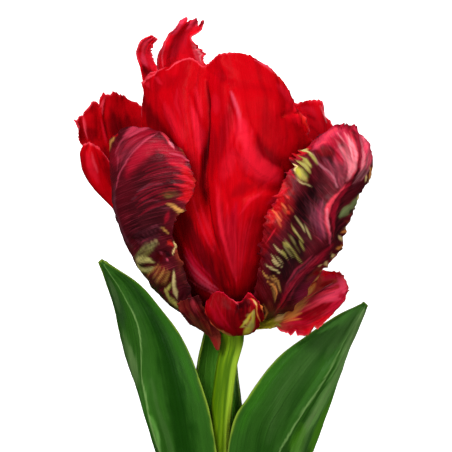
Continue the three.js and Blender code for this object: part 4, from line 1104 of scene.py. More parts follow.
topPetal = {
    "node": "petal_top", "slot": "petal_red", "seed": 7, "grid": (80, 180), "thick": 0.4, "wave": 0.5,
    "rows": [
        claw(162, 3.9, 4, 1.5)[::-1],
        [[-3, 13, -11], [0, 12.5, -12], [3, 13, -11]],
        [[-10, 35, -17], [-5, 35, -19], [1, 35, -19]],
        [[-18, 60, -19], [-11, 60, -21], [-4, 60, -20]],
        [[-23.5, 81, -17], [-16, 81, -20], [-8, 80, -18]],
        [[-25.3, 91.5, -14], [-17, 91.5, -17.5], [-9.2, 91, -15]],
        [[-22.3, 98, -12], [-16.5, 98, -14], [-12.3, 97.5, -12]],
        [[-19.2, 101.8, -9], [-14.5, 102.2, -11], [-10, 101.2, -10]],
        [[-17, 103.6, -8], [-13.2, 104.4, -9], [-9.6, 102.8, -8.5]],
    ],
    "ground": ("flare", "oxblood", "rose", 0.55),
    "pleat": 2.5, "crumple": 0.4,
    "teeth": {"left": (0.3, 1.6, 0.4, 0.3), "right": (1.0, 1.3, 0.5, 0.3), "tip": (0.4, 1.2, 0.4, 0.3)},
    "spikes": [
        ("tip", 0.12, 2.0, 0.12, 0.4), ("tip", 0.34, -2.0, 0.08, 0), ("tip", 0.58, 2.4, 0.13, 0.3),
        ("tip", 0.8, -1.8, 0.07, 0), ("tip", 0.97, 2.2, 0.1, -0.5), ("right", 0.78, -1.5, 0.05, 0),
        ("right", 0.66, 1.4, 0.03, 0), ("right", 0.6, 1.6, 0.02, 0),
    ],
    # The rose, coral, hot and shell lines are painted highlights along its margins and lobes.
    "marks": [
        ("coral", 0.6, 4, [(186, 22), (194, 26), (200, 24)]),
        ("blood", 0.5, 6, [(172, 42), (176, 54)]),
        ("rose", 0.9, 1.0, [(170, 32), (164, 42), (161, 54), (162, 66)]),
        ("coral", 0.5, 7, [(190, 26), (180, 40), (172, 56)]),
        ("rose", 0.9, 1.6, [(193, 40), (196, 50), (199, 58), (203, 64)]),
        ("coral", 0.7, 3, [(196, 44), (201, 54), (203, 62)]),
        ("coral", 0.6, 3, [(176, 34), (172, 46), (170, 60)]),
        ("coral", 0.5, 3, [(186, 32), (184, 44)]),
        ("carmine", 0.5, 3, [(172, 30), (180, 22)]),
        ("hot", 0.55, 2.6, [(172, 32), (178, 24), (184, 20)]),
        ("hot", 0.5, 3, [(186, 28), (192, 22), (200, 22)]),
        ("shell", 0.5, 1, [(194, 40), (197, 48), (200, 56), (203, 62)]),
    ],
    "folds": [
        (0.8, 4, 0, [(180, 24), (170, 38), (164, 56), (162, 72)]),
        (-0.8, 5, 0, [(184, 34), (178, 50), (176, 68)]),
        (1.0, 4, 0, [(192, 30), (194, 44), (196, 60)]),
    ],
}
makeBlade("topPetal", topPetal, petalRed)

hornPetal = {
    "node": "petal_horn", "slot": "petal_red", "seed": 8, "grid": (50, 150), "thick": 0.4, "wave": 0.2,
    "rows": [
        claw(-162, 3.9, 4, 1.5)[::-1],
        [[-8, 13, -8], [-6.5, 12.5, -9.5], [-5, 13, -11]],
        [[-19, 35, -10], [-17, 35, -13], [-14, 35, -15]],
        [[-26, 60, -11], [-24, 60, -14], [-20, 60, -15]],
        [[-29, 79, -11], [-27, 79, -13], [-23.5, 79, -13]],
        [[-30.6, 88, -9], [-28, 88, -11.5], [-25, 88.5, -12]],
        [[-32, 93, -7], [-29.5, 93, -9], [-27, 93, -9.5]],
        [[-30.8, 97, -5], [-28.5, 96.3, -7], [-26.8, 95.3, -7]],
        [[-27, 99.3, -3.5], [-26, 98.5, -4], [-25.2, 97.6, -4.5]],
    ],
    "ground": ("flare", "oxblood", "rose", 0.5),
    "pleat": 2.5, "crumple": 0.3,
    "teeth": {"left": (0.1, 1.6, 0.3, 0.1), "right": (0.8, 0.9, 0.4, 0.2), "tip": (0.3, 1.0, 0.3, 0.1)},
    # The rose, coral and hot lines are painted highlights; the blood and oxblood marks make it darker toward
    # its foot.
    "marks": [
        ("blood", 0.6, 4, [(141, 58), (146, 68), (152, 74)]),
        ("oxblood", 0.8, 4.5, [(143, 66), (148, 73), (156, 76)]),
        ("rose", 0.6, 2.6, [(143, 54), (143, 47), (147, 41)]),
        ("coral", 0.6, 5, [(145, 44), (146, 56), (152, 66)]),
        ("rose", 0.7, 1.4, [(151, 42), (151, 50), (155, 60), (159, 66)]),
        ("hot", 0.5, 2.4, [(141, 52), (143, 60), (147, 66)]),
        ("hot", 0.5, 1.6, [(141, 44), (146, 39), (152, 37)]),
    ],
}
makeBlade("hornPetal", hornPetal, petalRed)

lowRightPetal = {
    "node": "petal_right_low", "slot": "petal_red", "seed": 9, "grid": (130, 160), "thick": 0.4,
    "wave": 0.4, "faces": -1,
    "rows": [
        claw(86, 6.6, 0.6, 3),
        [[12, 0.9, 6.5], [13, 2.8, 5], [13.6, 6.4, 1.5]],
        [[18.9, -0.6, 9.5], [20, 4.6, 7.6], [20, 11.2, 0.8]],
        [[25.5, -1.1, 11.5], [27, 6.5, 10.5], [24.8, 16.6, 2.8]],
        [[31.7, 4, 11.5], [32.8, 10.5, 11.5], [29.4, 20.4, 5.8]],
        [[37, 9.3, 10], [39, 14.8, 10], [36.2, 20.1, 8]],
    ],
    "ground": ("carmine", "olive", "rose", 0.4),
    "pleat": 2.5, "crumple": 0.4,
    "teeth": {"left": (0.6, 1.6, 0.4, 0.3), "right": (0.9, 1.6, 0.6, 0.5), "tip": (0.7, 1.6, 0.5, 0.3)},
    "spikes": [("left", 0.46, -1.5, 0.025, 0), ("left", 0.42, 0.8, 0.03, 0),
               ("left", 0.645, -2.4, 0.05, 0), ("left", 0.27, -1.6, 0.05, 0), ("tip", 0.45, -0.8, 0.05, 0)],
    # Besides its own acid, lime, olive, gold and amber foot and streaks, the rose and blush lines are painted
    # highlights on its edges.
    "marks": [
        ("carmine", 0.9, 12, [(312, 312), (326, 302), (340, 290)]),
        ("blood", 0.85, 6, [(302, 312), (318, 309), (336, 298)]),
        ("red", 0.8, 4, [(296, 328), (308, 330), (318, 322), (332, 314)]),
        ("rust", 0.8, 8, [(288, 312), (300, 302), (312, 290)]),
        ("olive", 0.9, 6, [(248, 333), (264, 330), (278, 326)]),
        ("acid", 0.95, 5, [(250, 329), (264, 326), (280, 320)]),
        ("lime", 0.7, 3, [(268, 330), (280, 326)]),
        ("flame", 0.9, 1.1, [(279, 319), (284, 313), (289, 307)]),
        ("amber", 0.8, 0.9, [(281, 320), (290, 316), (302, 310), (312, 305)]),
        ("flame", 0.85, 0.9, [(283, 323), (292, 320), (304, 319)]),
        ("gold", 0.8, 0.9, [(279, 321), (288, 312), (298, 303)]),
        ("amber", 0.7, 0.8, [(284, 317), (296, 309), (308, 299)]),
        ("rust", 0.7, 1.2, [(296, 312), (308, 305), (318, 297)]),
        ("cerise", 0.8, 3, [(316, 302), (330, 297), (344, 288)]),
        ("cerise", 0.8, 2.2, [(317, 295), (328, 289), (338, 284)]),
        ("rose", 0.7, 2.4, [(336, 275), (343, 280), (347, 288)]),
        ("blood", 0.85, 2.6, [(320, 286), (327, 283), (334, 280)]),
        ("scarlet", 0.9, 2.6, [(322, 275), (330, 272), (338, 274)]),
        ("blush", 0.5, 0.8, [(317, 293), (325, 287), (333, 283)]),
        ("oxblood", 0.6, 1, [(314, 298), (324, 292), (336, 288)]),
        ("crimson", 0.7, 2, [(330, 306), (340, 298), (346, 290)]),
        ("acid", 0.9, 3, [(262, 331), (272, 327), (280, 322)]),
        ("amber", 0.6, 4, [(276, 322), (284, 314), (292, 306)]),
        ("scarlet", 0.9, 4, [(324, 276), (334, 275), (342, 280)]),
        ("blood", 0.9, 8, [(297, 319), (309, 317), (322, 313)]),
        ("cerise", 0.8, 4, [(337, 277), (342, 284), (345, 294)]),
        ("crimson", 0.8, 3, [(323, 280), (330, 277), (337, 278)]),
        ("cerise", 0.6, 3, [(318, 303), (330, 299), (342, 299)]),
        ("coral", 0.7, 2.4, [(283, 323), (290, 320), (297, 317)]),
        ("gold", 0.85, 3, [(273, 325), (280, 318), (287, 311)]),
        ("acid", 0.9, 3.4, [(260, 329), (270, 325), (277, 321)]),
        ("amber", 0.6, 2.6, [(304, 297), (310, 290), (316, 283)]),
        ("blood", 0.8, 5, [(285, 329), (297, 328), (309, 327)]),
        ("coral", 0.8, 1, [(283, 321), (292, 318), (303, 318)]),
        ("bead", 0.45, 3, [(274, 322), (281, 317), (289, 310)]),
    ],
    "fans": [
        ("rose", 0.6, 0.7, 12, [(290, 312), (306, 298), (322, 288), (340, 281)],
         [(290, 318), (306, 311), (322, 304), (340, 297)]),
        ("oxblood", 0.6, 0.8, 10, [(288, 314), (304, 300), (320, 290), (338, 283)],
         [(288, 325), (304, 326), (320, 319), (336, 310)]),
        ("gold", 0.8, 0.7, 10, [(282, 320), (298, 294), (314, 274)], [(284, 324), (302, 312), (318, 296)]),
        ("amber", 0.8, 0.6, 8, [(280, 320), (292, 312), (306, 302)], [(280, 325), (292, 321), (308, 320)]),
    ],
    "folds": [
        (0.9, 5, 0, [(290, 312), (312, 302), (340, 288)]),
        (0.8, 3, 0, [(318, 296), (328, 290), (338, 285)]),
        (-0.9, 3, 0, [(308, 298), (322, 288), (336, 281)]),
        (-0.6, 4, 0, [(288, 322), (308, 316), (330, 308)]),
    ],
}
makeBlade("lowRightPetal", lowRightPetal, petalRed)

lowFrontPetal = {
    "node": "petaloid_front_low", "slot": "petal_red", "seed": 10, "grid": (110, 90), "thick": 0.4,
    "wave": 0.3,
    "rows": [
        claw(5, 6.7, 0.6, 4),
        [[-6.2, 2.4, 15.5], [-3, -0.2, 16.2], [1.2, -1.2, 16.5], [5.4, -0.6, 16.2], [8.9, 2, 15.2]],
        [[-8.8, 7.3, 20.5], [-4.5, 6.4, 21.9], [1, 5.2, 23], [6, 5.8, 22.5], [10.7, 6.3, 20.7]],
        [[-8, 10.7, 20.2], [-4.3, 13.8, 21.6], [2, 10, 23], [5.7, 13.3, 23.8], [8.7, 10, 22.6]],
    ],
    "ground": ("blood", "oxblood", "crimson", 0.3),
    "pleat": 2.2, "crumple": 0.4,
    "teeth": {"left": (0.3, 1.6, 0.3, 0.2), "right": (0.7, 1.4, 0.5, 0.4), "tip": (0.5, 1.3, 0.5, 0.4)},
    # The ink and black marks along its top are painted shadow under the front petal; the rose and coral lines
    # there are small painted highlights.
    "marks": [
        ("blood", 0.6, 14, [(218, 304), (226, 316), (232, 330)]),
        ("red", 0.3, 3, [(208, 302), (211, 313), (219, 324)]),
        ("oxblood", 0.5, 5, [(222, 298), (226, 304), (232, 312)]),
        ("carmine", 0.35, 3, [(212, 306), (218, 318), (226, 328)]),
        ("oxblood", 0.6, 6, [(226, 306), (233, 320), (237, 334)]),
        ("ink", 0.8, 5, [(236, 304), (240, 313), (241, 321)]),
        ("black", 0.9, 4, [(236, 302), (241, 306), (246, 302)]),
        ("ember", 0.85, 1.8, [(205, 308), (208, 319), (215, 328), (226, 335)]),
        ("flame", 0.8, 1.0, [(206, 314), (211, 323), (219, 330), (230, 336)]),
        ("gold", 0.6, 1.6, [(214, 328), (222, 331), (234, 337)]),
        ("carmine", 0.4, 1.2, [(214, 298), (220, 312), (232, 330)]),
        ("lime", 0.9, 4.4, [(252, 316), (250, 324), (246, 333)]),
        ("lime", 0.8, 1.4, [(250, 312), (246, 316)]),
        ("lime", 0.8, 1.2, [(247, 320), (243, 322)]),
        ("lime", 0.8, 1.2, [(245, 325), (241, 327)]),
        ("ink", 0.85, 4, [(238, 303), (244, 306), (250, 304)]),
        ("ink", 0.6, 3, [(242, 311), (248, 310)]),
        ("acid", 0.7, 2.6, [(249, 326), (244, 335)]),
        ("acid", 0.6, 1.4, [(253, 312), (252, 322)]),
        ("oxblood", 0.8, 3, [(246, 302), (246, 312), (243, 322)]),
        ("rust", 0.6, 1.4, [(250, 306), (249, 316), (247, 324)]),
        ("coral", 0.7, 1.2, [(248, 298), (253, 300), (254, 306)]),
        ("oxblood", 0.9, 0.9, [(243, 310), (248, 312), (251, 311)]),
        ("oxblood", 0.9, 0.9, [(242, 316), (247, 318), (250, 318)]),
        ("oxblood", 0.9, 0.9, [(240, 322), (244, 324), (247, 325)]),
        ("oxblood", 0.9, 2.2, [(259, 308), (262, 314), (261, 320)]),
        ("amber", 0.8, 0.8, [(251, 298), (256, 304), (256, 312), (260, 321)]),
        ("amber", 0.6, 0.8, [(258, 304), (263, 309), (266, 316), (262, 322)]),
        ("bead", 0.7, 0.7, [(253, 300), (256, 305)]),
        ("coral", 0.8, 1.0, [(234, 300), (239, 302), (243, 296), (248, 292), (253, 296)]),
        ("blood", 0.7, 2, [(207, 297), (215, 293), (224, 296)]),
        ("rose", 0.8, 0.8, [(231, 298), (235, 301), (237, 304)]),
        ("ink", 0.7, 3, [(243, 299), (247, 301), (248, 307)]),
        ("lime", 0.8, 1.6, [(253, 309), (251, 316)]),
        ("acid", 0.6, 1.2, [(251, 311), (246, 321), (240, 327)]),
        ("lime", 0.6, 1.2, [(248, 317), (243, 325)]),
    ],
    "folds": [
        (0.9, 5, 0, [(208, 300), (214, 314), (226, 328)]),
        (-1.4, 4, 0, [(236, 296), (238, 306), (242, 318)]),
        (1.0, 4, 0, [(250, 298), (252, 312), (248, 330)]),
    ],
}
makeBlade("lowFrontPetal", lowFrontPetal, petalRed)

spurPetal = {
    "node": "petaloid_left_low", "slot": "petal_wine", "seed": 11, "grid": (60, 90), "thick": 0.4,
    "wave": 0.2,
    "rows": [
        [[-5.2, -6, 5.6], [-4.7, -6.2, 5.8], [-4.2, -6, 6]],
        [[-8.4, -1, 6], [-6.2, -1, 7.6], [-3.8, -0.8, 8.2]],
        [[-13.9, 2.6, 13], [-11, 3.4, 14.8], [-7.6, 5.2, 14.6]],
        [[-16.8, 6.2, 17], [-13.6, 7.2, 18.6], [-9.9, 9.3, 18.4]],
        [[-18.3, 9.7, 18.5], [-14.8, 11.2, 20.4], [-11, 12.5, 20.6]],
    ],
    "ground": ("oxblood", "rust", "rust", 0.5),
    "pleat": 2, "crumple": 0.3,
    "teeth": {"left": (0.3, 1.4, 0.4, 0.2), "right": (0.5, 1.4, 0.4, 0.2), "tip": (0.5, 1.2, 0.4, 0.2)},
    # The ink mark along its top is painted shade.
    "marks": [
        ("ink", 0.9, 8, [(186, 296), (196, 297), (208, 300)]),
        ("night", 0.8, 3, [(181, 311), (191, 321), (203, 332)]),
        ("brown", 0.7, 4, [(190, 314), (198, 324), (208, 334)]),
        ("blood", 0.7, 4, [(198, 306), (203, 318), (210, 330)]),
        ("rust", 0.5, 1.2, [(186, 314), (194, 322), (202, 331), (209, 340)]),
        ("rust", 0.4, 0.9, [(186, 306), (196, 318), (206, 332)]),
        ("rust", 0.6, 1.0, [(194, 304), (202, 316), (210, 328)]),
        ("blood", 0.7, 3, [(213, 338), (217, 349)]),
    ],
    "fans": [
        ("rose", 0.35, 0.6, 4, [(188, 298), (191, 306), (195, 315)], [(193, 296), (198, 305), (203, 316)]),
        ("flame", 0.3, 0.6, 5, [(190, 314), (200, 328), (210, 342)], [(206, 314), (210, 328), (215, 342)]),
        ("ink", 0.6, 0.8, 6, [(188, 302), (194, 314), (202, 328)], [(200, 298), (205, 312), (210, 328)]),
    ],
}
makeBlade("spurPetal", spurPetal, petalWine)
print("all petals made")


leafLook = {
    "bloom": opaque(110, 146, 84), "margin": opaque(130, 156, 50), "contrast": 0.4, "roughness": 0.42,
    "gloss": 0.07, "depth": 0.0004,
}


def leafFinish(name, look):
    made = Finish(name)
    flow = made.painted("flow", "Vector")
    lines = made.drawn(flow, 1.7, 0.02)
    broad = made.drawn(flow, 0.28, 0.014)
    bloom = made.drawn(flow, 0.16, 0.06, 3.0)
    grain = made.drawn(flow, 6, 1.2)
    tone = 1.0 + look["contrast"] * (lines - 0.5) + look["contrast"] * (broad - 0.5) + 0.14 * (grain - 0.5)
    colour = made.toned(made.painted("pigmentAndLight", "Color"), tone)
    colour = made.blend(colour, look["bloom"], made.step(bloom, 0.5, 0.75) * 0.035)
    margin = 1.0 - made.step(made.painted("edge", "Fac"), 0.1, 0.6)
    colour = made.blend(colour, look["margin"], margin * 0.6)
    roughness = look["roughness"] + 0.25 * (bloom - 0.5) + 0.1 * (grain - 0.5)
    return made.close(look["gloss"], colour, roughness, lines + 0.3 * grain, look["depth"])


leafGreen = leafFinish("leafGreen", leafLook)

quiet = {"left": (0.05, 9, 0, 0.15), "right": (0.05, 9, 0, 0.15), "tip": (0.05, 5, 0, 0.05)}

# underside: its colour, and how much of it is laid on there. root: where long marks end, on the plan.
leftLeaf = {
    "node": "leaf_left", "slot": "leaf", "seed": 12, "grid": (170, 240), "thick": 0.8, "teeth": quiet,
    "rows": [
        [[-4.5, -103, -31.6], [-7.5, -104, -30], [-8.3, -105, -26.5], [-7, -104, -23.4], [-3.5, -103, -22.2]],
        [[-11, -86, -38.5], [-14, -85, -29], [-14.5, -85, -21], [-9.5, -85, -16.5], [-1.5, -85, -15.3]],
        [[-19.4, -63, -43.5], [-21.6, -62, -27], [-20, -62, -15], [-12.5, -62, -8.5], [-1.5, -62, -7.8]],
        [[-25.3, -39, -34], [-25.5, -39, -20], [-23, -39, -9], [-15, -39, -2.5], [-5.3, -39, -0.8]],
        [[-29.4, -23.7, -27], [-29.3, -23.7, -16], [-27.3, -23.7, -7], [-17.5, -23.7, 0], [-8.3, -23.7, 1.5]],
        [[-35.8, -4, -20], [-33.4, -4, -11], [-29, -4, -5], [-22.5, -4, -1], [-15.7, -4, 0]],
        [[-38.5, 8.3, -14], [-36, 8.3, -8.5], [-32.5, 8.3, -4.5], [-28.5, 8.3, -2.5], [-24.3, 8.3, -2]],
        [[-41.4, 16.3, -9], [-39.2, 16.3, -6.5], [-36.7, 16.3, -4.5], [-34.2, 16.3, -3.5],
         [-31.7, 16.3, -3.5]],
        [[-44.6, 23.5, -4.5], [-44.3, 23.8, -4.2], [-44, 24, -4], [-43.6, 23.9, -4], [-43.3, 23.6, -4]],
    ],
    "ground": ("leaf", "leafDark", "leafRim", 0.6), "pleat": 6, "crumple": 0.3, "dimple": 0.15, "finest": 0.4,
    "underside": ("leafDark", 0.85), "root": (214, 640),
    "folds": [
        (1.7, 14, -0.9, [(105, 265), (114, 276), (122, 287), (131, 303), (138, 317), (142, 330),
                         (144, 345), (145, 361), (147, 379), (149, 397), (152, 415), (157, 435), (163, 458)]),
        (-0.6, 10, 0, [(150, 330), (160, 370), (172, 420), (182, 460)]),
    ],
    # The pale, light and sun strips beside the fold are painted highlights, and the deep band to the right of
    # the fold is painted shade.
    "marks": [
        ("leafDeep", 0.9, 15, [(122, 274), (140, 296), (156, 324), (166, 356), (174, 396), (186, 458)]),
        ("leafBright", 0.45, 5, [(132, 280), (152, 302), (171, 332), (187, 366), (199, 400)]),
        ("leafLight", 0.3, 7, [(124, 318), (132, 345), (138, 372), (144, 400), (153, 440)]),
        ("leafGrey", 0.7, 7, [(106, 272), (113, 288), (121, 306), (128, 328)]),
        ("leafPale", 0.5, 4, [(134, 346), (139, 368), (142, 388)]),
        ("leafLight", 0.85, 4, [(144, 392), (147, 412), (150, 432), (155, 456)]),
        ("leafSun", 0.7, 2, [(153, 416), (158, 436), (163, 458)]),
        ("leafPale", 0.2, 3, [(110, 276), (117, 292), (124, 312)]),
        ("leafPale", 0.3, 4, [(126, 330), (132, 352), (138, 376)]),
        ("leafBright", 0.5, 3, [(148, 402), (154, 424), (160, 450)]),
        ("leafBlue", 0.6, 4, [(151, 380), (158, 410), (168, 440), (172, 455)]),
        ("leafLine", 0.55, 0.5, [(104, 264), (114, 276), (122, 287), (131, 303), (138, 317), (142, 330),
                                 (144, 345), (145, 361), (146, 379), (149, 397), (152, 415), (157, 435),
                                 (163, 458)]),
    ],
}
rightLeaf = {
    "node": "leaf_right", "slot": "leaf", "seed": 13, "grid": (170, 240), "thick": 0.8, "teeth": quiet,
    "rows": [
        [[-3.5, -121, -25.8], [0.8, -122, -27.3], [2.2, -123, -30.8], [0.8, -122, -34], [-2.5, -121, -35.5]],
        [[-5, -97, -16.5], [2.5, -98, -18], [6.5, -100, -25], [6, -99, -32.5], [3, -98, -40.5]],
        [[-4, -68, -3.8], [4, -69, -6.3], [11, -72, -15], [14, -73, -28], [14, -74, -43.5]],
        [[-0.5, -34, 2.7], [8, -36, 0], [16.7, -39.3, -6], [22.5, -41.5, -15], [26, -43, -28]],
        [[5.5, -21.7, 3.5], [14, -23.5, 1.5], [23, -25.7, -3.5], [27.7, -27, -10.5], [31, -28, -20]],
        [[14.8, -9.3, 2.5], [22.5, -11.5, 1], [31, -14, -3], [33.1, -15.2, -8.5], [34.4, -16, -15]],
        [[25, -1.3, 0.5], [31, -2.2, -0.5], [37, -3.5, -3], [37.7, -4.4, -6.3], [38.3, -5, -10]],
        [[35, 5.3, -2], [38.2, 5, -2.3], [41.3, 4.5, -3.3], [41.8, 3.8, -5], [42.3, 3, -7]],
        [[44.3, 9.6, -4], [44.6, 9.5, -4], [44.9, 9.3, -4.1], [45.1, 9, -4.3], [45.2, 8.7, -4.6]],
    ],
    "ground": ("leaf", "leafDark", "leafRim", 0.6), "pleat": 6, "crumple": 0.3, "dimple": 0.15, "finest": 0.4,
    "underside": ("leafDark", 0.85), "root": (236, 690),
    "folds": [
        (1.7, 14, 0.9, [(367, 303), (348, 331), (334, 357), (318, 385), (298, 415), (276, 458)]),
        (-0.6, 12, 0, [(330, 340), (306, 375), (280, 420), (262, 458)]),
    ],
    # The light, pale, sun and sun-patch strips along the fold are painted highlights, laid where the leaf
    # turns from the lamp.
    "marks": [
        ("leafDark", 0.5, 12, [(332, 338), (318, 356), (300, 384), (280, 420), (262, 458)]),
        ("leafBlue", 0.5, 6, [(348, 318), (330, 336), (312, 358), (296, 380)]),
        ("leafBright", 0.4, 9, [(318, 332), (290, 352), (262, 384), (240, 430)]),
        ("leafBright", 0.5, 4, [(300, 440), (308, 420), (318, 400)]),
        ("leafLight", 0.9, 8, [(364, 312), (352, 338), (338, 366), (322, 396), (306, 430), (296, 458)]),
        ("leafPale", 0.8, 3, [(363, 309), (352, 330), (341, 354), (330, 374)]),
        ("leafPale", 0.6, 2.6, [(344, 350), (338, 366), (333, 384)]),
        ("leafSun", 0.8, 6, [(356, 326), (344, 350), (333, 374), (319, 400), (304, 430), (294, 458)]),
        ("leafSunPatch", 0.9, 5, [(345, 364), (334, 390), (323, 414), (314, 438), (311, 458)]),
        ("leafLight", 0.6, 6, [(360, 308), (350, 316), (340, 328)]),
        ("leafPale", 0.8, 4, [(362, 312), (355, 328), (347, 344)]),
        ("leafPale", 0.6, 2.6, [(330, 376), (318, 398), (304, 424), (292, 450)]),
        ("leafLine", 0.5, 0.6, [(367, 303), (348, 331), (334, 357), (318, 385), (298, 415), (276, 458)]),
        ("leafBlue", 0.4, 4, [(300, 362), (282, 392), (270, 430)]),
        ("leafBlue", 0.8, 7, [(356, 312), (342, 333), (326, 358)]),
        ("leafBlue", 0.35, 16, [(326, 332), (298, 372), (268, 440)]),
        ("leafLight", 0.7, 3, [(353, 311), (338, 322), (318, 334)]),
        ("leafSunPatch", 0.6, 7, [(300, 424), (292, 458)]),
        ("leafDark", 0.5, 5, [(326, 350), (312, 372), (298, 398), (286, 422)]),
        ("leafSun", 0.5, 3, [(326, 382), (318, 396), (311, 412)]),
        ("leafDeep", 0.4, 4, [(310, 426), (304, 440), (300, 458)]),
        ("leafSun", 0.6, 3, [(350, 340), (343, 356), (336, 370)]),
        ("leafLight", 0.6, 3, [(360, 318), (354, 332)]),
    ],
}
backLeaf = {
    "node": "leaf_back", "slot": "leaf", "seed": 14, "grid": (70, 140), "thick": 0.8, "teeth": quiet,
    "rows": [
        [[-8.9, -83, -21], [-7.5, -84, -24.8], [-4.4, -85, -26.4], [-1.2, -84, -24.8], [0.2, -83, -21]],
        [[-11, -60, -15.5], [-9.5, -60, -20], [-4.5, -61, -22.5], [1, -60, -20], [3.5, -60, -16]],
        [[-13, -36, -12], [-10, -36, -16], [-5, -37, -19], [1, -36, -16.5], [4, -35, -12.5]],
        [[-12, -14.5, -11], [-9.5, -15, -15], [-5, -16, -18.5], [-0.5, -15, -16], [2, -15, -12]],
        [[-9, -0.5, -16], [-7.5, -0.5, -19.5], [-4.5, -1, -22.5], [-1.5, -0.5, -21], [0, -0.5, -18]],
        [[-5, 11.5, -26.5], [-4.5, 11.8, -26.8], [-4, 12, -27], [-3.5, 11.8, -27], [-3, 11.5, -27]],
    ],
    # Its leafBack body is a lit copy of the leaf green, painted bright against the shade of the stem and
    # bloom; the leafSun mark beside the stem is a painted highlight.
    "ground": ("leafBack", "leafBack", "leafRim", 0.6), "pleat": 6, "crumple": 0.3, "dimple": 0.15,
    "marks": [("leafSun", 0.9, 5, [(236, 368), (239, 388), (243, 412)])],
}
for name, piece in (("leftLeaf", leftLeaf), ("rightLeaf", rightLeaf), ("backLeaf", backLeaf)):
    makeBlade(name, piece, leafGreen)
print("leaves made")


def rodMesh(name, rod):  # a cylinder with rings of points along it
    bpy.ops.mesh.primitive_cylinder_add(vertices=rod["sides"], radius=1, depth=2, end_fill_type="TRIFAN")
    body = bpy.context.object
    body.name = name
    bpy.ops.object.mode_set(mode="EDIT")
    bpy.ops.mesh.select_mode(type="EDGE")
    bpy.ops.mesh.select_all(action="DESELECT")
    bpy.ops.object.mode_set(mode="OBJECT")
    for line in body.data.edges:
        a, b = (body.data.vertices[n].co for n in line.vertices)
        line.select = abs(a.z - b.z) > 1
    bpy.ops.object.mode_set(mode="EDIT")
    bpy.ops.mesh.subdivide(number_cuts=rod["steps"])
    bpy.ops.object.mode_set(mode="OBJECT")
    return body


def makeRod(name, rod, finish):  # a round body along a path
    body = rodMesh(name, rod)
    path, points = rod["path"], pointsOf(body.data)
    t = np.clip((points[:, 2] + 1) / 2, 0, 1)
    turn = np.arctan2(points[:, 1], points[:, 0])
    reach = np.linalg.norm(points[:, :2], axis=1)
    ahead = sweep(path, np.minimum(t + 0.002, 1)) - sweep(path, np.maximum(t - 0.002, 0))
    ahead /= np.linalg.norm(ahead, axis=1, keepdims=True)
    first = np.array([1.0, 0, 0]) - ahead * ahead[:, :1]
    first /= np.linalg.norm(first, axis=1, keepdims=True)
    second = np.cross(ahead, first)
    radius = sweep(np.array(rod["radii"])[:, None], t)[:, 0]
    length = np.linalg.norm(np.diff(sweep(path, np.linspace(0, 1, 60)), axis=0), axis=1).sum()
    ribs = rod["ribs"] * np.cos(rod["ribCount"] * turn + 6 * t)
    swell = 0.02 * rough(turn * 2 / pi + 5, t * length / 9, rod["seed"])
    size = radius * reach * (1 + (ribs + swell) * (reach > 0.5))
    place = sweep(path, t) + first * (size * np.cos(turn))[:, None] + second * (size * np.sin(turn))[:, None]
    place = place + ahead * (rod.get("hollow", 0) * (1 - np.minimum(reach, 1)) * (t < 0.5))[:, None]
    place[:, 2] = np.maximum(place[:, 2], floorLevel)
    flow = np.stack([turn * radius.mean(), t * length, 0 * t + rod["seed"]], axis=1)
    carry(body.data, "flow", "FLOAT_VECTOR", "vector", flow)
    carry(body.data, "height", "FLOAT", "value", t)
    carry(body.data, "reach", "FLOAT", "value", reach)
    placePoints(body.data, place / 1000 + foot)
    bpy.ops.object.shade_smooth_by_angle(angle=radians(50))
    dress(body, rod["node"], finish)


stem = {
    "node": "stem", "slot": "stem", "seed": 15, "sides": 72, "steps": 200,
    "ribs": 0.012, "ribCount": 9, "hollow": 0.5, "gloss": 0.1, "depth": 0.0004,
    "green": opaque(70, 108, 4), "light": opaque(112, 148, 10), "line": opaque(52, 90, 4),
    # litStripe is the colour of a painted highlight on the stem.
    "upper": opaque(60, 92, 20), "litStripe": opaque(196, 238, 64),
    "pith": opaque(206, 212, 150), "cutRim": opaque(140, 168, 72),
    "path": [
        [4, -190, -39], [2, -172, -38.6], [-1.5, -140, -34.5], [-3.5, -105, -27],
        [-4.5, -70, -17], [-4.2, -39.3, -7], [-3.5, -26, -3.5], [-2, -12.7, -1],
        [0, -4, 0], [0, 0, 0], [0, 2, 0], [0, 4, 0], [0, 5.5, 0],
    ],
    "radii": [3.6, 3.5, 3.4, 3.4, 3.4, 3.45, 3.5, 3.5, 3.7, 4.2, 4.0, 3.0, 2.6],
}


def stemFinish(look):
    made = Finish("stemGreen")
    flow = made.painted("flow", "Vector")
    height = made.painted("height", "Fac")
    reach = made.painted("reach", "Fac")
    lines = made.drawn(flow, 1.6, 0.03)
    broad = made.drawn(flow, 0.35, 0.02)
    grain = made.drawn(flow, 5, 1.5)
    colour = made.blend(look["green"], look["light"], made.step(broad, 0.4, 0.65))
    colour = made.blend(colour, look["line"], made.step(lines, 0.52, 0.7) * 0.6)
    colour = made.blend(colour, look["upper"], made.step(height, 0.72, 0.9) * 0.7)
    side = made.node("ShaderNodeSeparateXYZ", {}, {0: flow}, "X")
    # A painted highlight: a bright stripe down the stem's upper right side, where the lamps leave it in
    # shade.
    litStripe = made.step(side, -4.6, -3) * (1.0 - made.step(side, 0, 1))
    litStripe = litStripe * made.step(height, 0.3, 0.46) * (1.0 - made.step(height, 0.62, 0.7))
    colour = made.blend(colour, look["litStripe"], litStripe * 0.85)
    pith = made.blend(look["pith"], look["cutRim"], made.step(reach, 0.4, 0.9))
    colour = made.blend(colour, pith, 1.0 - made.step(reach, 0.97, 1))
    colour = made.toned(colour, 0.9 + 0.2 * grain)
    roughness = 0.4 + 0.2 * (grain - 0.5)
    return made.close(look["gloss"], colour, roughness, lines + 0.3 * grain, look["depth"])


makeRod("tulipStem", stem, stemFinish(stem))

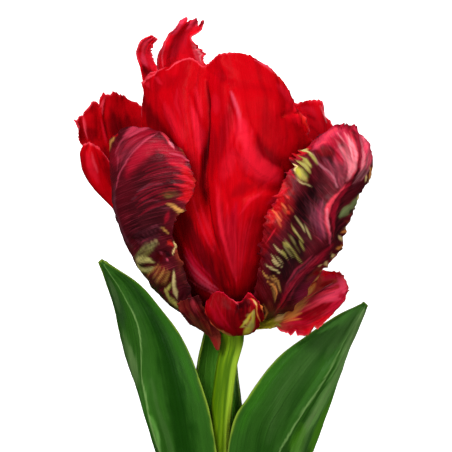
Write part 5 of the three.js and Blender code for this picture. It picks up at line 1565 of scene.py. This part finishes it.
pistil = {
    "node": "pistil", "slot": "pistil", "seed": 16, "sides": 48, "steps": 60, "ribs": 0.12, "ribCount": 3,
    "gloss": 0.4, "depth": 0.0004, "style": opaque(132, 150, 70), "stigma": opaque(206, 196, 120),
    "path": [[0, 5.8, 0], [0, 9, 0], [0, 16, 0], [0, 23, 0], [0, 26, 0], [0, 28, 0], [0, 30, 0]],
    "radii": [1, 2.3, 2.9, 2.2, 1.9, 3, 1.8],
}


def pistilFinish(look):
    made = Finish("pistilGreen")
    height = made.painted("height", "Fac")
    grain = made.drawn(made.painted("flow", "Vector"), 2, 2, 3.0)
    colour = made.blend(look["style"], look["stigma"], made.step(height, 0.7, 0.9))
    colour = made.toned(colour, 0.8 + 0.4 * grain)
    return made.close(look["gloss"], colour, 0.5 + 0.2 * grain, grain, look["depth"])


makeRod("tulipPistil", pistil, pistilFinish(pistil))

# A stamen's path is given by its distance from the flower's axis and its height, station by station.
stamen = {
    "slot": "anther", "count": 6, "sides": 16, "steps": 50, "ribs": 0.1, "ribCount": 2,
    "gloss": 0.3, "depth": 0.0003, "filament": opaque(70, 16, 30), "anther": opaque(34, 20, 34),
    "stations": [(1.9, 5.8), (4.2, 9.5), (5.4, 14), (6, 18.5), (6.2, 20), (6.5, 24), (6.9, 30), (7.2, 33)],
    "radii": [0.35, 0.5, 0.55, 0.45, 1.1, 1.5, 1.3, 0.5],
}


def antherFinish(look):
    made = Finish("antherDark")
    height = made.painted("height", "Fac")
    grain = made.drawn(made.painted("flow", "Vector"), 5, 5, 3.0)
    colour = made.blend(look["filament"], look["anther"], made.step(height, 0.5, 0.6))
    colour = made.toned(colour, 0.6 + 0.8 * grain)
    return made.close(look["gloss"], colour, 0.7 + 0.2 * grain, grain, look["depth"])


anther = antherFinish(stamen)
for n in range(stamen["count"]):
    turn = (n + 0.5) / stamen["count"] * 2 * pi
    path = [[reach * sin(turn), height, reach * cos(turn)] for reach, height in stamen["stations"]]
    makeRod(f"stamen{n + 1}", {**stamen, "node": f"stamen_{n + 1}", "seed": 17 + n, "path": path}, anther)
print("stem, pistil and stamens made")

paper = {"size": 4, "drop": 0.0002, "grain": 900.0, "grey": 0.88, "mottle": 0.02, "glow": 0.95}


def addFloor(look):
    bpy.ops.mesh.primitive_plane_add(size=look["size"], location=(0, 0, -look["drop"]))
    floor = bpy.context.object
    floor.name = "floor"
    made = Finish("floorPaper")
    grain = made.noise(made.node("ShaderNodeTexCoord", {}, {}, "Object"), look["grain"])
    shader = made.node("ShaderNodeBsdfPrincipled", {}, {
        "Base Color": made.grey(look["grey"] + look["mottle"] * grain), "Roughness": 0.9,
        "Specular IOR Level": 0.1, "Emission Color": (1, 1, 1, 1), "Emission Strength": look["glow"]})
    made.node("ShaderNodeOutputMaterial", {}, {"Surface": shader})
    floor.data.materials.append(made.material)
    floor.visible_diffuse = False  # its glare stays off the petals
    floor.visible_glossy = False
    floor.select_set(False)


lamps = {
    "keyLight": {"place": (-0.45, 0.6, 1.0), "power": 11.8, "size": 0.45},
    "fillLight": {"place": (0.7, 0.4, 1.0), "power": 4.4, "size": 0.8},
}


def addLight(name, light, aim=(0, 0.05, 0.03)):
    turn = (Vector(aim) - Vector(light["place"])).to_track_quat("-Z", "Y").to_euler()
    bpy.ops.object.light_add(type="AREA", location=light["place"], rotation=turn)
    lamp = bpy.context.object
    lamp.name = name
    lamp.data.shape = "DISK"
    lamp.data.size = light["size"]
    lamp.data.energy = light["power"]
    lamp.visible_camera = False
    lamp.select_set(False)


# The room is lit from "To Min" in directions that drop below "From Min" to "To Max" over "From Max".
room = {"From Min": -0.3, "From Max": 0.7, "To Min": 0.03, "To Max": 0.5}


def addRoom(brightness):
    world = bpy.data.worlds.new("studio")
    scene.world = world
    world.use_nodes = True
    nodes, links = world.node_tree.nodes, world.node_tree.links
    place = nodes.new("ShaderNodeTexCoord")
    height = nodes.new("ShaderNodeSeparateXYZ")
    rise = nodes.new("ShaderNodeMapRange")
    for key, value in brightness.items():
        rise.inputs[key].default_value = value
    links.new(place.outputs["Generated"], height.inputs[0])
    links.new(height.outputs["Z"], rise.inputs["Value"])
    links.new(rise.outputs[0], nodes["Background"].inputs["Strength"])
    nodes["Background"].inputs["Color"].default_value = (1, 1, 1, 1)


addFloor(paper)
for name, light in lamps.items():
    addLight(name, light)
addRoom(room)
scene.view_settings.view_transform = "Standard"
print("floor and light placed")
